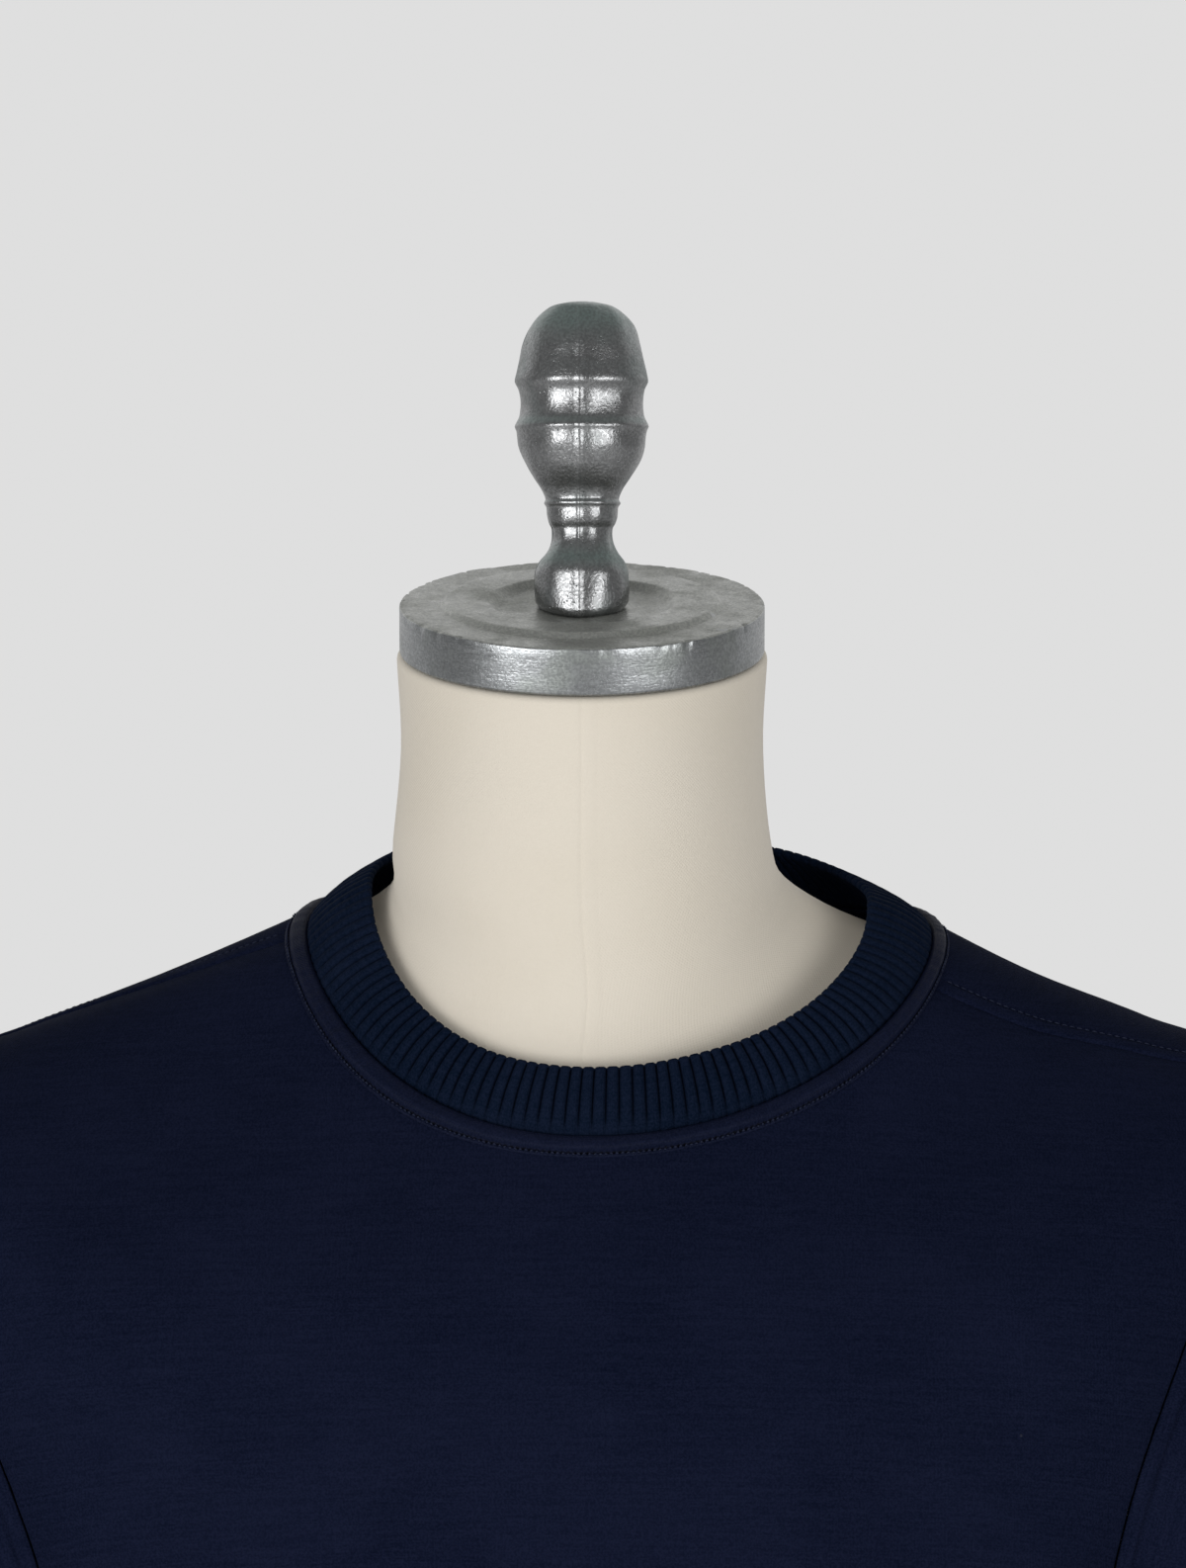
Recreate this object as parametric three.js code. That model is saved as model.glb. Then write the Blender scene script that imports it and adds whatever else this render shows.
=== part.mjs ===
// A crew neck sweater worn by a limbless dress form on a round stand.
// Millimetres, +Z up, front towards -Y. The origin is the centre of the stand's underside.
import * as THREE from "three";

// ---------------------------------------------------------------- driving sizes
const SHOULDER_HEIGHT = 880; // the form's shoulder line beside the neck, above the floor
const CLOTH = 2; // smooth double-knit wall
const RIB = 2.8; // rib turned over on itself
const STRIP = 1; // neck strip laid on the body
const STRIP_WIDTH = 7;
const STRIP_LIFT = 0.65; // under the strip
const GAP = 0.3; // between pieces that are sewn or rest together
const SHOULDER_SLOPE = THREE.MathUtils.degToRad(21);
const SHOULDER_START = 92; // where the straight shoulder line starts, from the middle
const CAP_TILT = THREE.MathUtils.degToRad(15);
const CAP = { radius: 60, thick: 16, step: 1.6, recess: 1, centreY: -12, centreZ: 86.8 };
const STAND = { baseRadius: 150, baseThick: 12, stemRadius: 17, formBottom: 110 };

// Colours, roughness and metalness of each finish.
const FINISH = {
  knit: { color: 0x141b31, roughness: 0.85, metalness: 0 },
  rib: { color: 0x0f1c2e, roughness: 0.9, metalness: 0 },
  formCloth: { color: 0xd8d2c2, roughness: 0.9, metalness: 0 },
  castMetal: { color: 0x8f9496, roughness: 0.38, metalness: 1 },
  stemMetal: { color: 0x9a9b9c, roughness: 0.4, metalness: 1 },
  standPaint: { color: 0x3a3c3f, roughness: 0.5, metalness: 0.3 },
};

const { degToRad, lerp } = THREE.MathUtils;

/** Height of the cloth's outside along the straight shoulder line, at x from the middle. */
function shoulderLine(x) {
  return 1.5 - Math.tan(SHOULDER_SLOPE) * (Math.abs(x) - SHOULDER_START);
}

// ---------------------------------------------------------------- rings
// One row for each ring, heights counted from the shoulder line beside the neck.
// half, shift: half width and sideways shift; mid, front, back: y of the widest, front and back points;
// side, frontZ, backZ: heights there; roll, twist: how far the ring leans and turns; round: softness of
// the ridge it crosses; square: 2 for an ellipse, more for fuller corners.
const RING = { shift: 0, roll: 0, twist: 0, round: 0.6, square: 2 };

const BODY_RINGS = [
  {
    half: 104.3, shift: 12.4, mid: 7, front: -68, back: 75,
    side: -5.9, frontZ: -70.7, backZ: 3, roll: -0.8, twist: 4.1, round: 0.6, square: 2.1,
  },
  {
    half: 146, shift: 6, mid: 9, front: -86, back: 94,
    side: shoulderLine(146) - 3.9, frontZ: -100, backZ: -24, roll: 0.1, twist: 1.5, round: 0.35, square: 2.1,
  },
  {
    half: 188, mid: 9, front: -99.5, back: 108,
    side: shoulderLine(188) - 2.5, frontZ: -128, backZ: -62, roll: 2, round: 0.5, square: 2.15,
  },
  {
    half: 224, mid: 8, front: -109, back: 117,
    side: shoulderLine(224) - 3.5, frontZ: -156, backZ: -102, roll: 1.5, round: 0.65, square: 2.2,
  },
  {
    half: 233, mid: 7, front: -115, back: 121,
    side: -93, frontZ: -184, backZ: -146, roll: 1, round: 0.75, square: 2.25,
  },
  {
    half: 224, mid: 4, front: -119, back: 121,
    side: -156, frontZ: -218, backZ: -196, round: 0.75, square: 2.3,
  },
  { half: 204, mid: 2, front: -120.5, back: 118, side: -225, frontZ: -254, backZ: -244, square: 2.35 },
  { half: 189, mid: 1, front: -120, back: 114, side: -284, frontZ: -292, backZ: -289, square: 2.35 },
  { half: 185, mid: 0, front: -114, back: 103, side: -400, square: 2.35 },
  { half: 187, mid: 0, front: -113, back: 107, side: -520, square: 2.35 },
  { half: 190, mid: 0, front: -118, back: 115, side: -612, square: 2.35 },
  { half: 187, mid: 0, front: -117, back: 113, side: -632, square: 2.35 },
];
const TIP_RING = 3; // the ring through the shoulder tip
const UNDERARM_RING = 7; // the ring through the underarm point

const HEM_RINGS = [
  BODY_RINGS.at(-1),
  { half: 182, mid: 0, front: -112, back: 108, side: -641, square: 2.35 },
  { half: 180, mid: 0, front: -110, back: 107, side: -662, square: 2.35 },
  { half: 181, mid: 0, front: -111, back: 108, side: -690, square: 2.35 },
];

// The wearer's left sleeve; the right one is its mirror image.
const SLEEVE_RINGS = [
  { half: 35, shift: 229, mid: -4, front: -84, back: 74, side: -325 },
  { half: 33, shift: 230, mid: -6, front: -80, back: 67, side: -385 },
  { half: 29, shift: 228, mid: -10, front: -77, back: 56, side: -440 },
  { half: 29, shift: 231, mid: -13, front: -75, back: 49, side: -500 },
  { half: 25, shift: 230, mid: -16, front: -70, back: 38, side: -560 },
  { half: 24, shift: 230, mid: -18, front: -66, back: 30, side: -610 },
  { half: 21, shift: 230, mid: -19, front: -61, back: 23, side: -628 },
];
const CUFF_RINGS = [
  SLEEVE_RINGS.at(-1),
  { half: 19, shift: 230, mid: -19, front: -56, back: 18, side: -636 },
  { half: 19, shift: 230, mid: -20, front: -57, back: 17, side: -690 },
];

const FORM_RINGS = [
  { half: 61, mid: -12, front: -70.9, back: 46.9, side: 86.8, frontZ: 71, backZ: 102.6, round: 1 },
  { half: 59.6, mid: -8, front: -66, back: 50, side: 56, frontZ: 42, backZ: 68, round: 0.8 },
  { half: 62.5, mid: -4, front: -58, back: 54, side: 23, frontZ: 4, backZ: 38, round: 0.6 },
  {
    half: 65.8, shift: 2, mid: 3, front: -53, back: 59,
    side: 8, frontZ: -25, backZ: 24, roll: 1, round: 0.4, square: 1.9,
  },
  {
    half: 85.5, mid: 8, front: -53, back: 66,
    side: -4.4, frontZ: -48, backZ: 9, roll: 2.2, round: 0.25, square: 1.9,
  },
  {
    half: 110, mid: 9, front: -61.5, back: 76,
    side: -13.2, frontZ: -74, backZ: -7, roll: 2.3, round: 0.25, square: 1.9,
  },
  { half: 146, mid: 9, front: -81, back: 90, side: -26.7, frontZ: -99, backZ: -27.5, roll: 2.3, round: 0.35 },
  {
    half: 184, mid: 9, front: -94.5, back: 103,
    side: -40.6, frontZ: -126, backZ: -63, roll: 2, round: 0.5, square: 2.1,
  },
  {
    half: 204, mid: 8, front: -104, back: 112,
    side: -54, frontZ: -156, backZ: -102, roll: 1.7, round: 0.65, square: 2.2,
  },
  {
    half: 207, mid: 7, front: -110, back: 115.5,
    side: -95.2, frontZ: -184, backZ: -146, roll: 1.2, round: 0.75, square: 2.25,
  },
  {
    half: 198, mid: 4, front: -113.5, back: 115.5,
    side: -158, frontZ: -218, backZ: -196, round: 0.75, square: 2.3,
  },
  { half: 185, mid: 2, front: -114.5, back: 111.5, side: -226, frontZ: -254, backZ: -244, square: 2.3 },
  { half: 175, mid: 1, front: -113, back: 106, side: -285, frontZ: -292, backZ: -289, square: 2.3 },
  { half: 153, mid: 0, front: -98, back: 84, side: -420, square: 2.3 },
  { half: 167, mid: 0, front: -101, back: 95, side: -590, square: 2.3 },
  { half: 166, mid: 0, front: -97, back: 96, side: -700, square: 2.3 },
  { half: 156, mid: 0, front: -90, back: 90, side: -770, square: 2.3 },
];

// Left and right are the wearer's; the left is at +X. The angles of the seams are degrees forward
// (negative) of the shoulder ridge, at the neck, the shoulder tip and the underarm point; scoop is how many
// degrees the armhole reaches forward of its middle. The garment is turned a little on the form, so the two
// sides differ.
const SIDES = {
  left: { sign: 1, neck: -19.5, tip: -7, under: -8, scoop: 33 },
  right: { sign: -1, neck: -1, tip: 8.5, under: -4, scoop: 40 },
};
const SEAM_BEND = 0.8; // below 1, the shoulder seams swing most beside the neck
const ARMHOLE_REACH = 26; // degrees that an armhole reaches back of its middle

// How finely each surface is cut into rows and columns.
const CUTS = {
  shoulder: 5, armhole: 11, below: 6, front: 18, back: 20, head: 6, collar: 4, hem: 44, cuff: 22,
  form: 48, formRows: 30, cap: 48, finial: 24, base: 56, stem: 32,
};

/** The point of one ring at an angle: 0 is +X, -90 degrees the front. */
function ringPoint(row, angle) {
  const ring = { ...RING, frontZ: row.side, backZ: row.side, ...row };
  const [c, s] = [Math.cos(angle), Math.sin(angle)];
  const power = 2 / ring.square;
  const reach = s < 0 ? ring.mid - ring.front : ring.back - ring.mid;
  const ridge = (ring.frontZ + ring.backZ - 2 * ring.side) / (Math.hypot(1, ring.round) - ring.round);
  const lean = ring.roll * c - (ring.twist * Math.sin(2 * angle) * (1 - s)) / 2;
  return new THREE.Vector3(
    ring.shift + ring.half * Math.sign(c) * Math.abs(c) ** power,
    ring.mid + reach * Math.sign(s) * Math.abs(s) ** power,
    ring.side + lean + (ridge / 2) * (Math.hypot(s, ring.round) - ring.round)
      + ((ring.backZ - ring.frontZ) / 2) * s,
  );
}

/** A cubic through two points with the slopes given there. */
function hermite(from, to, slopeFrom, slopeTo, u) {
  const [u2, u3] = [u * u, u * u * u];
  return from.clone().multiplyScalar(2 * u3 - 3 * u2 + 1)
    .addScaledVector(slopeFrom, u3 - 2 * u2 + u)
    .addScaledVector(to, 3 * u2 - 2 * u3)
    .addScaledVector(slopeTo, u3 - u2);
}

/** A smooth surface through a stack of rings; run is the distance travelled down it. */
class RingSurface {
  constructor(rows) {
    this.rows = rows;
    this.runs = [0];
    const angles = Array.from({ length: 24 }, (_, i) => (i * Math.PI) / 12);
    for (let k = 1; k < rows.length; k += 1) {
      const steps = angles.map((a) => ringPoint(rows[k], a).distanceTo(ringPoint(rows[k - 1], a)));
      this.runs.push(this.runs[k - 1] + steps.reduce((sum, step) => sum + step) / angles.length);
    }
  }

  get length() {
    return this.runs.at(-1);
  }

  /** The slope of the surface along run, at ring k. */
  slope(k, angle) {
    const [low, high] = [Math.max(k - 1, 0), Math.min(k + 1, this.rows.length - 1)];
    return ringPoint(this.rows[high], angle).sub(ringPoint(this.rows[low], angle))
      .divideScalar(this.runs[high] - this.runs[low]);
  }

  point(angle, run) {
    let k = this.runs.findLastIndex((start) => start <= run);
    k = Math.min(Math.max(k, 0), this.rows.length - 2);
    const span = this.runs[k + 1] - this.runs[k];
    return hermite(
      ringPoint(this.rows[k], angle),
      ringPoint(this.rows[k + 1], angle),
      this.slope(k, angle).multiplyScalar(span),
      this.slope(k + 1, angle).multiplyScalar(span),
      (run - this.runs[k]) / span,
    );
  }

  /** The outward normal, from small steps each way. */
  normal(angle, run) {
    const [turn, step] = [0.01, 0.5];
    const across = this.point(angle + turn, run).sub(this.point(angle - turn, run));
    const down = this.point(angle, Math.min(run + step, this.length))
      .sub(this.point(angle, Math.max(run - step, 0)));
    return down.cross(across).normalize();
  }
}

const body = new RingSurface(BODY_RINGS);
const TIP_RUN = body.runs[TIP_RING];
const UNDER_RUN = body.runs[UNDERARM_RING];

// ---------------------------------------------------------------- closed meshes
/** A closed BufferGeometry from points and triangles, turned to face out. */
function closedGeometry(points, triangles) {
  let volume = 0;
  for (const [a, b, c] of triangles) volume += points[a].dot(points[b].clone().cross(points[c]));
  const faces = volume < 0 ? triangles.map(([a, b, c]) => [a, c, b]) : triangles;
  const geometry = new THREE.BufferGeometry();
  geometry.setAttribute("position", new THREE.Float32BufferAttribute(points.flatMap((p) => p.toArray()), 3));
  geometry.setIndex(faces.flat());
  geometry.computeVertexNormals();
  return geometry;
}

/** Two triangles for each cell of a grid of rows and columns; looped joins the last column to the first. */
function gridTriangles(rowCount, columnCount, looped, index) {
  const triangles = [];
  const cells = looped ? columnCount : columnCount - 1;
  for (let i = 0; i + 1 < rowCount; i += 1) {
    for (let j = 0; j < cells; j += 1) {
      const next = (j + 1) % columnCount;
      const [a, b, c, d] = [index(i, j), index(i, next), index(i + 1, next), index(i + 1, j)];
      triangles.push([a, b, c], [a, c, d]);
    }
  }
  return triangles;
}

/** A wall of cloth: the outside is the grid of { point, normal }, the inside lies thick behind it. */
function clothWall(grid, thick, looped) {
  const [rowCount, columnCount] = [grid.length, grid[0].length];
  const outside = grid.flat();
  const points = [
    ...outside.map(({ point }) => point),
    ...outside.map(({ point, normal }) => point.clone().addScaledVector(normal, -thick)),
  ];
  const outer = (i, j) => i * columnCount + j;
  const inner = (i, j) => outer(i, j) + outside.length;
  const last = rowCount - 1;
  const triangles = gridTriangles(rowCount, columnCount, looped, outer);
  for (const [a, b, c] of gridTriangles(rowCount, columnCount, looped, inner)) triangles.push([a, c, b]);
  triangles.push(...gridTriangles(2, columnCount, looped, (i, j) => (i ? outer(0, j) : inner(0, j))));
  triangles.push(...gridTriangles(2, columnCount, looped, (i, j) => (i ? inner(last, j) : outer(last, j))));
  if (!looped) {
    const end = columnCount - 1;
    triangles.push(...gridTriangles(rowCount, 2, false, (i, j) => (j ? outer(i, 0) : inner(i, 0))));
    triangles.push(...gridTriangles(rowCount, 2, false, (i, j) => (j ? inner(i, end) : outer(i, end))));
  }
  return closedGeometry(points, triangles);
}

/** A solid through rings of points, closed by a flat fan at each end. */
function ringSolid(rings) {
  const around = rings[0].length;
  const points = rings.flat();
  const triangles = gridTriangles(rings.length, around, true, (i, j) => i * around + j);
  for (const ring of [0, rings.length - 1]) {
    const centre = points.length;
    points.push(rings[ring].reduce((sum, p) => sum.add(p), new THREE.Vector3()).divideScalar(around));
    for (let j = 0; j < around; j += 1) {
      const [a, b] = [ring * around + j, ring * around + ((j + 1) % around)];
      triangles.push(ring ? [centre, a, b] : [centre, b, a]);
    }
  }
  return closedGeometry(points, triangles);
}

/** Draws the edges of a grid back a little, half the seam gap unless told, so that neighbours stay apart. */
function drawnBack(grid, { sides = GAP / 2, top = GAP / 2, bottom = GAP / 2 } = {}) {
  const move = (cell, towards, by) => {
    const way = towards.point.clone().sub(cell.point).normalize();
    return { point: cell.point.clone().addScaledVector(way, by), normal: cell.normal };
  };
  const rows = grid.map((row) => (
    [move(row[0], row[1], sides), ...row.slice(1, -1), move(row.at(-1), row.at(-2), sides)]));
  const first = rows[0].map((cell, j) => move(cell, rows[1][j], top));
  const end = rows.at(-1).map((cell, j) => move(cell, rows.at(-2)[j], bottom));
  return [first, ...rows.slice(1, -1), end];
}

/** Makes the normals of one row of a grid level, so that the wall ends square. */
function levelled(grid, index) {
  for (const { normal } of [grid.at(index)].flat()) normal.setZ(0).normalize();
  return grid;
}

/** Evenly spaced angles once round. */
function turns(count) {
  return Array.from({ length: count }, (_, j) => (2 * Math.PI * j) / count);
}

// ---------------------------------------------------------------- seams of the body
/** The rows of the body panels, neck to hem: run down the body, and how far round the armhole. */
function bodyRows() {
  const rows = [{ run: 0, turn: 0 }];
  for (let i = 0; i < CUTS.shoulder; i += 1) {
    rows.push({ run: lerp(STRIP_WIDTH, TIP_RUN, i / CUTS.shoulder), turn: 0 });
  }
  for (let i = 0; i <= CUTS.armhole; i += 1) {
    const turn = (Math.PI * i) / CUTS.armhole;
    rows.push({ run: armholeRun(turn), turn });
  }
  for (let i = 1; i <= CUTS.below; i += 1) {
    rows.push({ run: lerp(UNDER_RUN, body.length, i / CUTS.below), turn: Math.PI });
  }
  return rows;
}

/** How far down the body an armhole point lies; turn 0 is the shoulder tip and 180 degrees the underarm. */
function armholeRun(turn) {
  return lerp(TIP_RUN, UNDER_RUN, (1 - Math.cos(turn)) / 2);
}

/** The angle on the body of a side's seam or armhole edge; face is -1 for the front, 1 for the back. */
function seamAngle(side, run, turn, face) {
  const shoulder = lerp(side.neck, side.tip, Math.min(run / TIP_RUN, 1) ** SEAM_BEND);
  const centre = lerp(shoulder, side.under, (1 - Math.cos(turn)) / 2);
  const reach = face < 0 ? side.scoop : ARMHOLE_REACH;
  const forward = degToRad(centre + face * reach * Math.sin(turn));
  return side.sign > 0 ? forward : Math.PI - forward;
}

/** The column angles of a panel in one row, from its left edge to its right. */
function panelAngles(face, run, turn) {
  const columns = face < 0 ? CUTS.front : CUTS.back;
  const from = seamAngle(SIDES.left, run, turn, face);
  const to = seamAngle(SIDES.right, run, turn, face) - (face < 0 ? 2 * Math.PI : 0);
  return Array.from({ length: columns + 1 }, (_, j) => lerp(from, to, j / columns));
}

/** The column angles of both panels in one row, once round. */
function neckAngles(run) {
  const forward = panelAngles(-1, run, 0);
  const behind = panelAngles(1, run, 0).reverse();
  return [...forward.slice(0, -1), ...behind.slice(0, -1)];
}

/** A point of the body's outside and the normal there. */
function bodyCell(angle, run) {
  return { point: body.point(angle, run), normal: body.normal(angle, run) };
}

/** One body panel: the front runs from the left seam through -90 degrees, the back through +90. */
function bodyPanel(face) {
  const grid = bodyRows().map(({ run, turn }) => (
    panelAngles(face, run, turn).map((angle) => bodyCell(angle, run))));
  return clothWall(drawnBack(levelled(grid, -1)), CLOTH, false);
}

// ---------------------------------------------------------------- sleeves
/**
 * The armhole edge of one side, once round from the shoulder tip by way of the front, moved out by the
 * seam gap. Onward is the way the body's surface would go on across the hole.
 */
function armholeEdge(side) {
  const edge = turns(2 * CUTS.armhole).map((around) => {
    const face = around <= Math.PI ? -1 : 1;
    const turn = face < 0 ? around : 2 * Math.PI - around;
    const run = armholeRun(turn);
    return { around, ...bodyCell(seamAngle(side, run, turn, face), run) };
  });
  const count = edge.length;
  return edge.map(({ around, point, normal }, j) => {
    const along = edge[(j + 1) % count].point.clone().sub(edge[(j + count - 1) % count].point);
    const onward = along.cross(normal).normalize().multiplyScalar(-side.sign);
    return { around, point: point.clone().addScaledVector(onward, GAP), normal, onward };
  });
}

/** The rows of a ring table, mirrored for the right side. */
function onSide(side, rows) {
  return rows.map((row) => ({ ...row, shift: side.sign * row.shift }));
}

/** The angle on a sleeve ring that goes with a place round the armhole. */
function sleeveAngle(side, around) {
  return side.sign > 0 ? -around : Math.PI + around;
}

/** Gives every cell of a looped grid the normal of its neighbours' spread, away from the middle. */
function withNormals(rows) {
  const count = rows[0].length;
  return rows.map((row, i) => {
    const middle = row.reduce((sum, p) => sum.add(p), new THREE.Vector3()).divideScalar(count);
    const [above, below] = [rows[Math.max(i - 1, 0)], rows[Math.min(i + 1, rows.length - 1)]];
    return row.map((point, j) => {
      const across = row[(j + 1) % count].clone().sub(row[(j + count - 1) % count]);
      const normal = below[j].clone().sub(above[j]).cross(across).normalize();
      if (normal.dot(point.clone().sub(middle)) < 0) normal.negate();
      return { point, normal };
    });
  });
}

/** A set-in sleeve: a head that swings from the armhole down to the first ring, then a hanging tube. */
function sleeve(side) {
  const arm = new RingSurface(onSide(side, SLEEVE_RINGS));
  const edge = armholeEdge(side);
  const armCount = SLEEVE_RINGS.length + 2;
  const rows = [edge.map(({ point }) => point)];
  for (let i = 1; i <= CUTS.head; i += 1) {
    rows.push(edge.map(({ around, point, onward }) => {
      const angle = sleeveAngle(side, around);
      const to = arm.point(angle, 0);
      const down = (1 - Math.cos(around)) / 2;
      const fall = new THREE.Vector3(
        side.sign * lerp(0.9, 0.3, down), -0.25 * Math.sin(around), lerp(-0.42, -0.95, down));
      const reach = point.distanceTo(to);
      const leave = fall.add(onward).normalize().multiplyScalar(reach * lerp(0.75, 0.9, down));
      return hermite(point, to, leave, arm.slope(0, angle).multiplyScalar(reach), i / CUTS.head);
    }));
  }
  for (let i = 1; i <= armCount; i += 1) {
    rows.push(edge.map(({ around }) => arm.point(sleeveAngle(side, around), (arm.length * i) / armCount)));
  }
  const grid = withNormals(rows);
  grid[0] = edge.map(({ point, normal }) => ({ point, normal }));
  return clothWall(drawnBack(levelled(grid, -1), { sides: 0, top: 0 }), CLOTH, true);
}

// ---------------------------------------------------------------- ribs and neck strip
/** A tube of rib through a ring table, with a row at each ring. */
function ribTube(rows, count) {
  const surface = new RingSurface(rows);
  const grid = surface.runs.map((run) => turns(count).map((angle) => (
    { point: surface.point(angle, run), normal: surface.normal(angle, run) })));
  levelled(levelled(grid, 0), -1);
  return clothWall(drawnBack(grid, { sides: 0, bottom: 0 }), RIB, true);
}

const COLLAR_EDGE = {
  half: 82.4, shift: 12.3, mid: -1, front: -63, back: 67,
  side: 8.6, frontZ: -47.2, backZ: 28.6, roll: -2.6, twist: 4.5, round: 0.07, square: 2.2,
};
const COLLAR_BOW = 1.6; // how far the rib rounds out between its seam and its fold

/** The neck rib: from the neck seam up and in to its folded edge, rounded between. */
function collar() {
  const rows = Array.from({ length: CUTS.collar + 1 }, (_, i) => neckAngles(0).map((angle) => {
    const [from, to] = [ringPoint(BODY_RINGS[0], angle), ringPoint(COLLAR_EDGE, angle)];
    const bow = COLLAR_BOW * Math.sin((Math.PI * i) / CUTS.collar);
    const out = new THREE.Vector3(Math.cos(angle), Math.sin(angle), 0.8).normalize();
    return from.lerp(to, i / CUTS.collar).addScaledVector(out, bow);
  }));
  const grid = withNormals(rows);
  return clothWall(drawnBack(grid, { sides: 0, bottom: 0 }), RIB, true);
}

/** The neck strip: a narrow band lying on the body just outside the neck seam. */
function neckStrip() {
  const grid = [0, STRIP_WIDTH].map((run) => neckAngles(run).map((angle) => {
    const { point, normal } = bodyCell(angle, run);
    return { point: point.addScaledVector(normal, STRIP_LIFT + STRIP), normal };
  }));
  return clothWall(grid, STRIP, true);
}

// ---------------------------------------------------------------- the form and its stand
/** The limbless form: neck, shoulders and torso in one closed shape. */
function formShape() {
  const surface = new RingSurface(FORM_RINGS);
  return ringSolid(Array.from({ length: CUTS.formRows + 1 }, (_, i) => (
    turns(CUTS.form).map((angle) => surface.point(angle, (surface.length * i) / CUTS.formRows)))));
}

// Outlines of the turned pieces: radius and height, from the axis at the bottom to the axis at the top.
const CAP_OUTLINE = [
  [0, 0], [CAP.radius, 0], [CAP.radius, CAP.thick - 1.2], [CAP.radius - 1.2, CAP.thick],
  [46, CAP.thick], [44, CAP.thick + CAP.step], [31, CAP.thick + CAP.step], [27.5, CAP.thick - CAP.recess],
  [0, CAP.thick - CAP.recess],
];

const FINIAL_OUTLINE = [
  [0, 0], [14.2, 0], [15.3, 1.6], [15.4, 11], [14.2, 14.3], [11.6, 17.7], [10.1, 21.4], [9.9, 25.4],
  [10.8, 27.2], [11.5, 29.4], [11.8, 32.6], [12.6, 33.8], [12, 35], [13.2, 38.1], [15.9, 42.2],
  [18.7, 47.1], [20.6, 52.2], [21.8, 57.2], [21.7, 59.3], [20.5, 62.3], [20.2, 67], [20.8, 71.1],
  [22, 73.6], [21.7, 75.9], [20.8, 79.6], [19.2, 86.4], [16.3, 92.9], [10.7, 98.1], [5, 99.7], [0, 100],
];
const FINIAL_FOOT = 10; // only the foot below this height follows the slope of the cap

const BASE_OUTLINE = [
  [0, 0], [STAND.baseRadius - 2, 0], [STAND.baseRadius, 2], [STAND.baseRadius, 6],
  [STAND.baseRadius - 5, 9.5],
  [40, STAND.baseThick], [0, STAND.baseThick],
];

/** A turned solid about +Z. */
function turned(outline, segments) {
  const profile = outline.map(([radius, height]) => new THREE.Vector2(radius, height));
  return new THREE.LatheGeometry(profile, segments).rotateX(Math.PI / 2);
}

/** The finial, upright, with its foot cut to the slope of the tilted cap. */
function finialShape() {
  const shape = turned(FINIAL_OUTLINE, CUTS.finial);
  const place = shape.getAttribute("position");
  for (let i = 0; i < place.count; i += 1) {
    const share = Math.max(1 - place.getZ(i) / FINIAL_FOOT, 0);
    place.setZ(i, place.getZ(i) + share * Math.tan(CAP_TILT) * place.getY(i));
  }
  return shape;
}

// ---------------------------------------------------------------- the scene graph
/** A named mesh in one of the finishes. */
function piece(name, geometry, finish) {
  const mesh = new THREE.Mesh(geometry, new THREE.MeshStandardMaterial(FINISH[finish]));
  mesh.name = name;
  return mesh;
}

const sweater = new THREE.Group();
sweater.position.z = SHOULDER_HEIGHT;
sweater.add(
  piece("front_body", bodyPanel(-1), "knit"),
  piece("back_body", bodyPanel(1), "knit"),
  piece("sleeve_left", sleeve(SIDES.left), "knit"),
  piece("sleeve_right", sleeve(SIDES.right), "knit"),
  piece("neck_rib", collar(), "rib"),
  piece("neck_strip", neckStrip(), "knit"),
  piece("hem_rib", ribTube(HEM_RINGS, CUTS.hem), "rib"),
  piece("cuff_left", ribTube(onSide(SIDES.left, CUFF_RINGS), CUTS.cuff), "rib"),
  piece("cuff_right", ribTube(onSide(SIDES.right, CUFF_RINGS), CUTS.cuff), "rib"),
);

const form = new THREE.Group();
form.position.z = SHOULDER_HEIGHT;
form.add(piece("dress_form", formShape(), "formCloth"));

// The cap stands square to the neck's sloping cut; the finial stands upright in the middle of the cap.
const head = new THREE.Group();
head.position.set(0, CAP.centreY, CAP.centreZ);
const square = new THREE.Vector3(0, -Math.sin(CAP_TILT), Math.cos(CAP_TILT));
const cap = piece("neck_cap", turned(CAP_OUTLINE, CUTS.cap), "castMetal");
cap.rotation.x = CAP_TILT;
cap.position.copy(square).multiplyScalar(GAP);
const finial = piece("finial", finialShape(), "castMetal");
finial.position.copy(square).multiplyScalar(CAP.thick - CAP.recess + 2 * GAP);
head.add(cap, finial);
form.add(head);

const stand = new THREE.Group();
const stemHeight = STAND.formBottom - STAND.baseThick - 2 * GAP;
const tube = new THREE.CylinderGeometry(STAND.stemRadius, STAND.stemRadius, stemHeight, CUTS.stem);
const stem = piece("stand_stem", tube.rotateX(Math.PI / 2), "stemMetal");
stem.position.z = STAND.baseThick + GAP + stemHeight / 2;
stand.add(piece("stand_base", turned(BASE_OUTLINE, CUTS.base), "standPaint"), stem);

const dressed = new THREE.Group();
dressed.add(stand, form, sweater);

export default dressed;
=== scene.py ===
"""The looks of a crew neck sweater on a limbless dress form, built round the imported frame.

Sizes in the tables are millimetres, and heights in them count from the shoulder line beside the neck.
Left and right are the wearer's, so the left side lies at +X, and the front faces -Y.
"""

import logging
import math
from dataclasses import dataclass, field
from enum import Enum
from typing import Callable, Sequence

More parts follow.
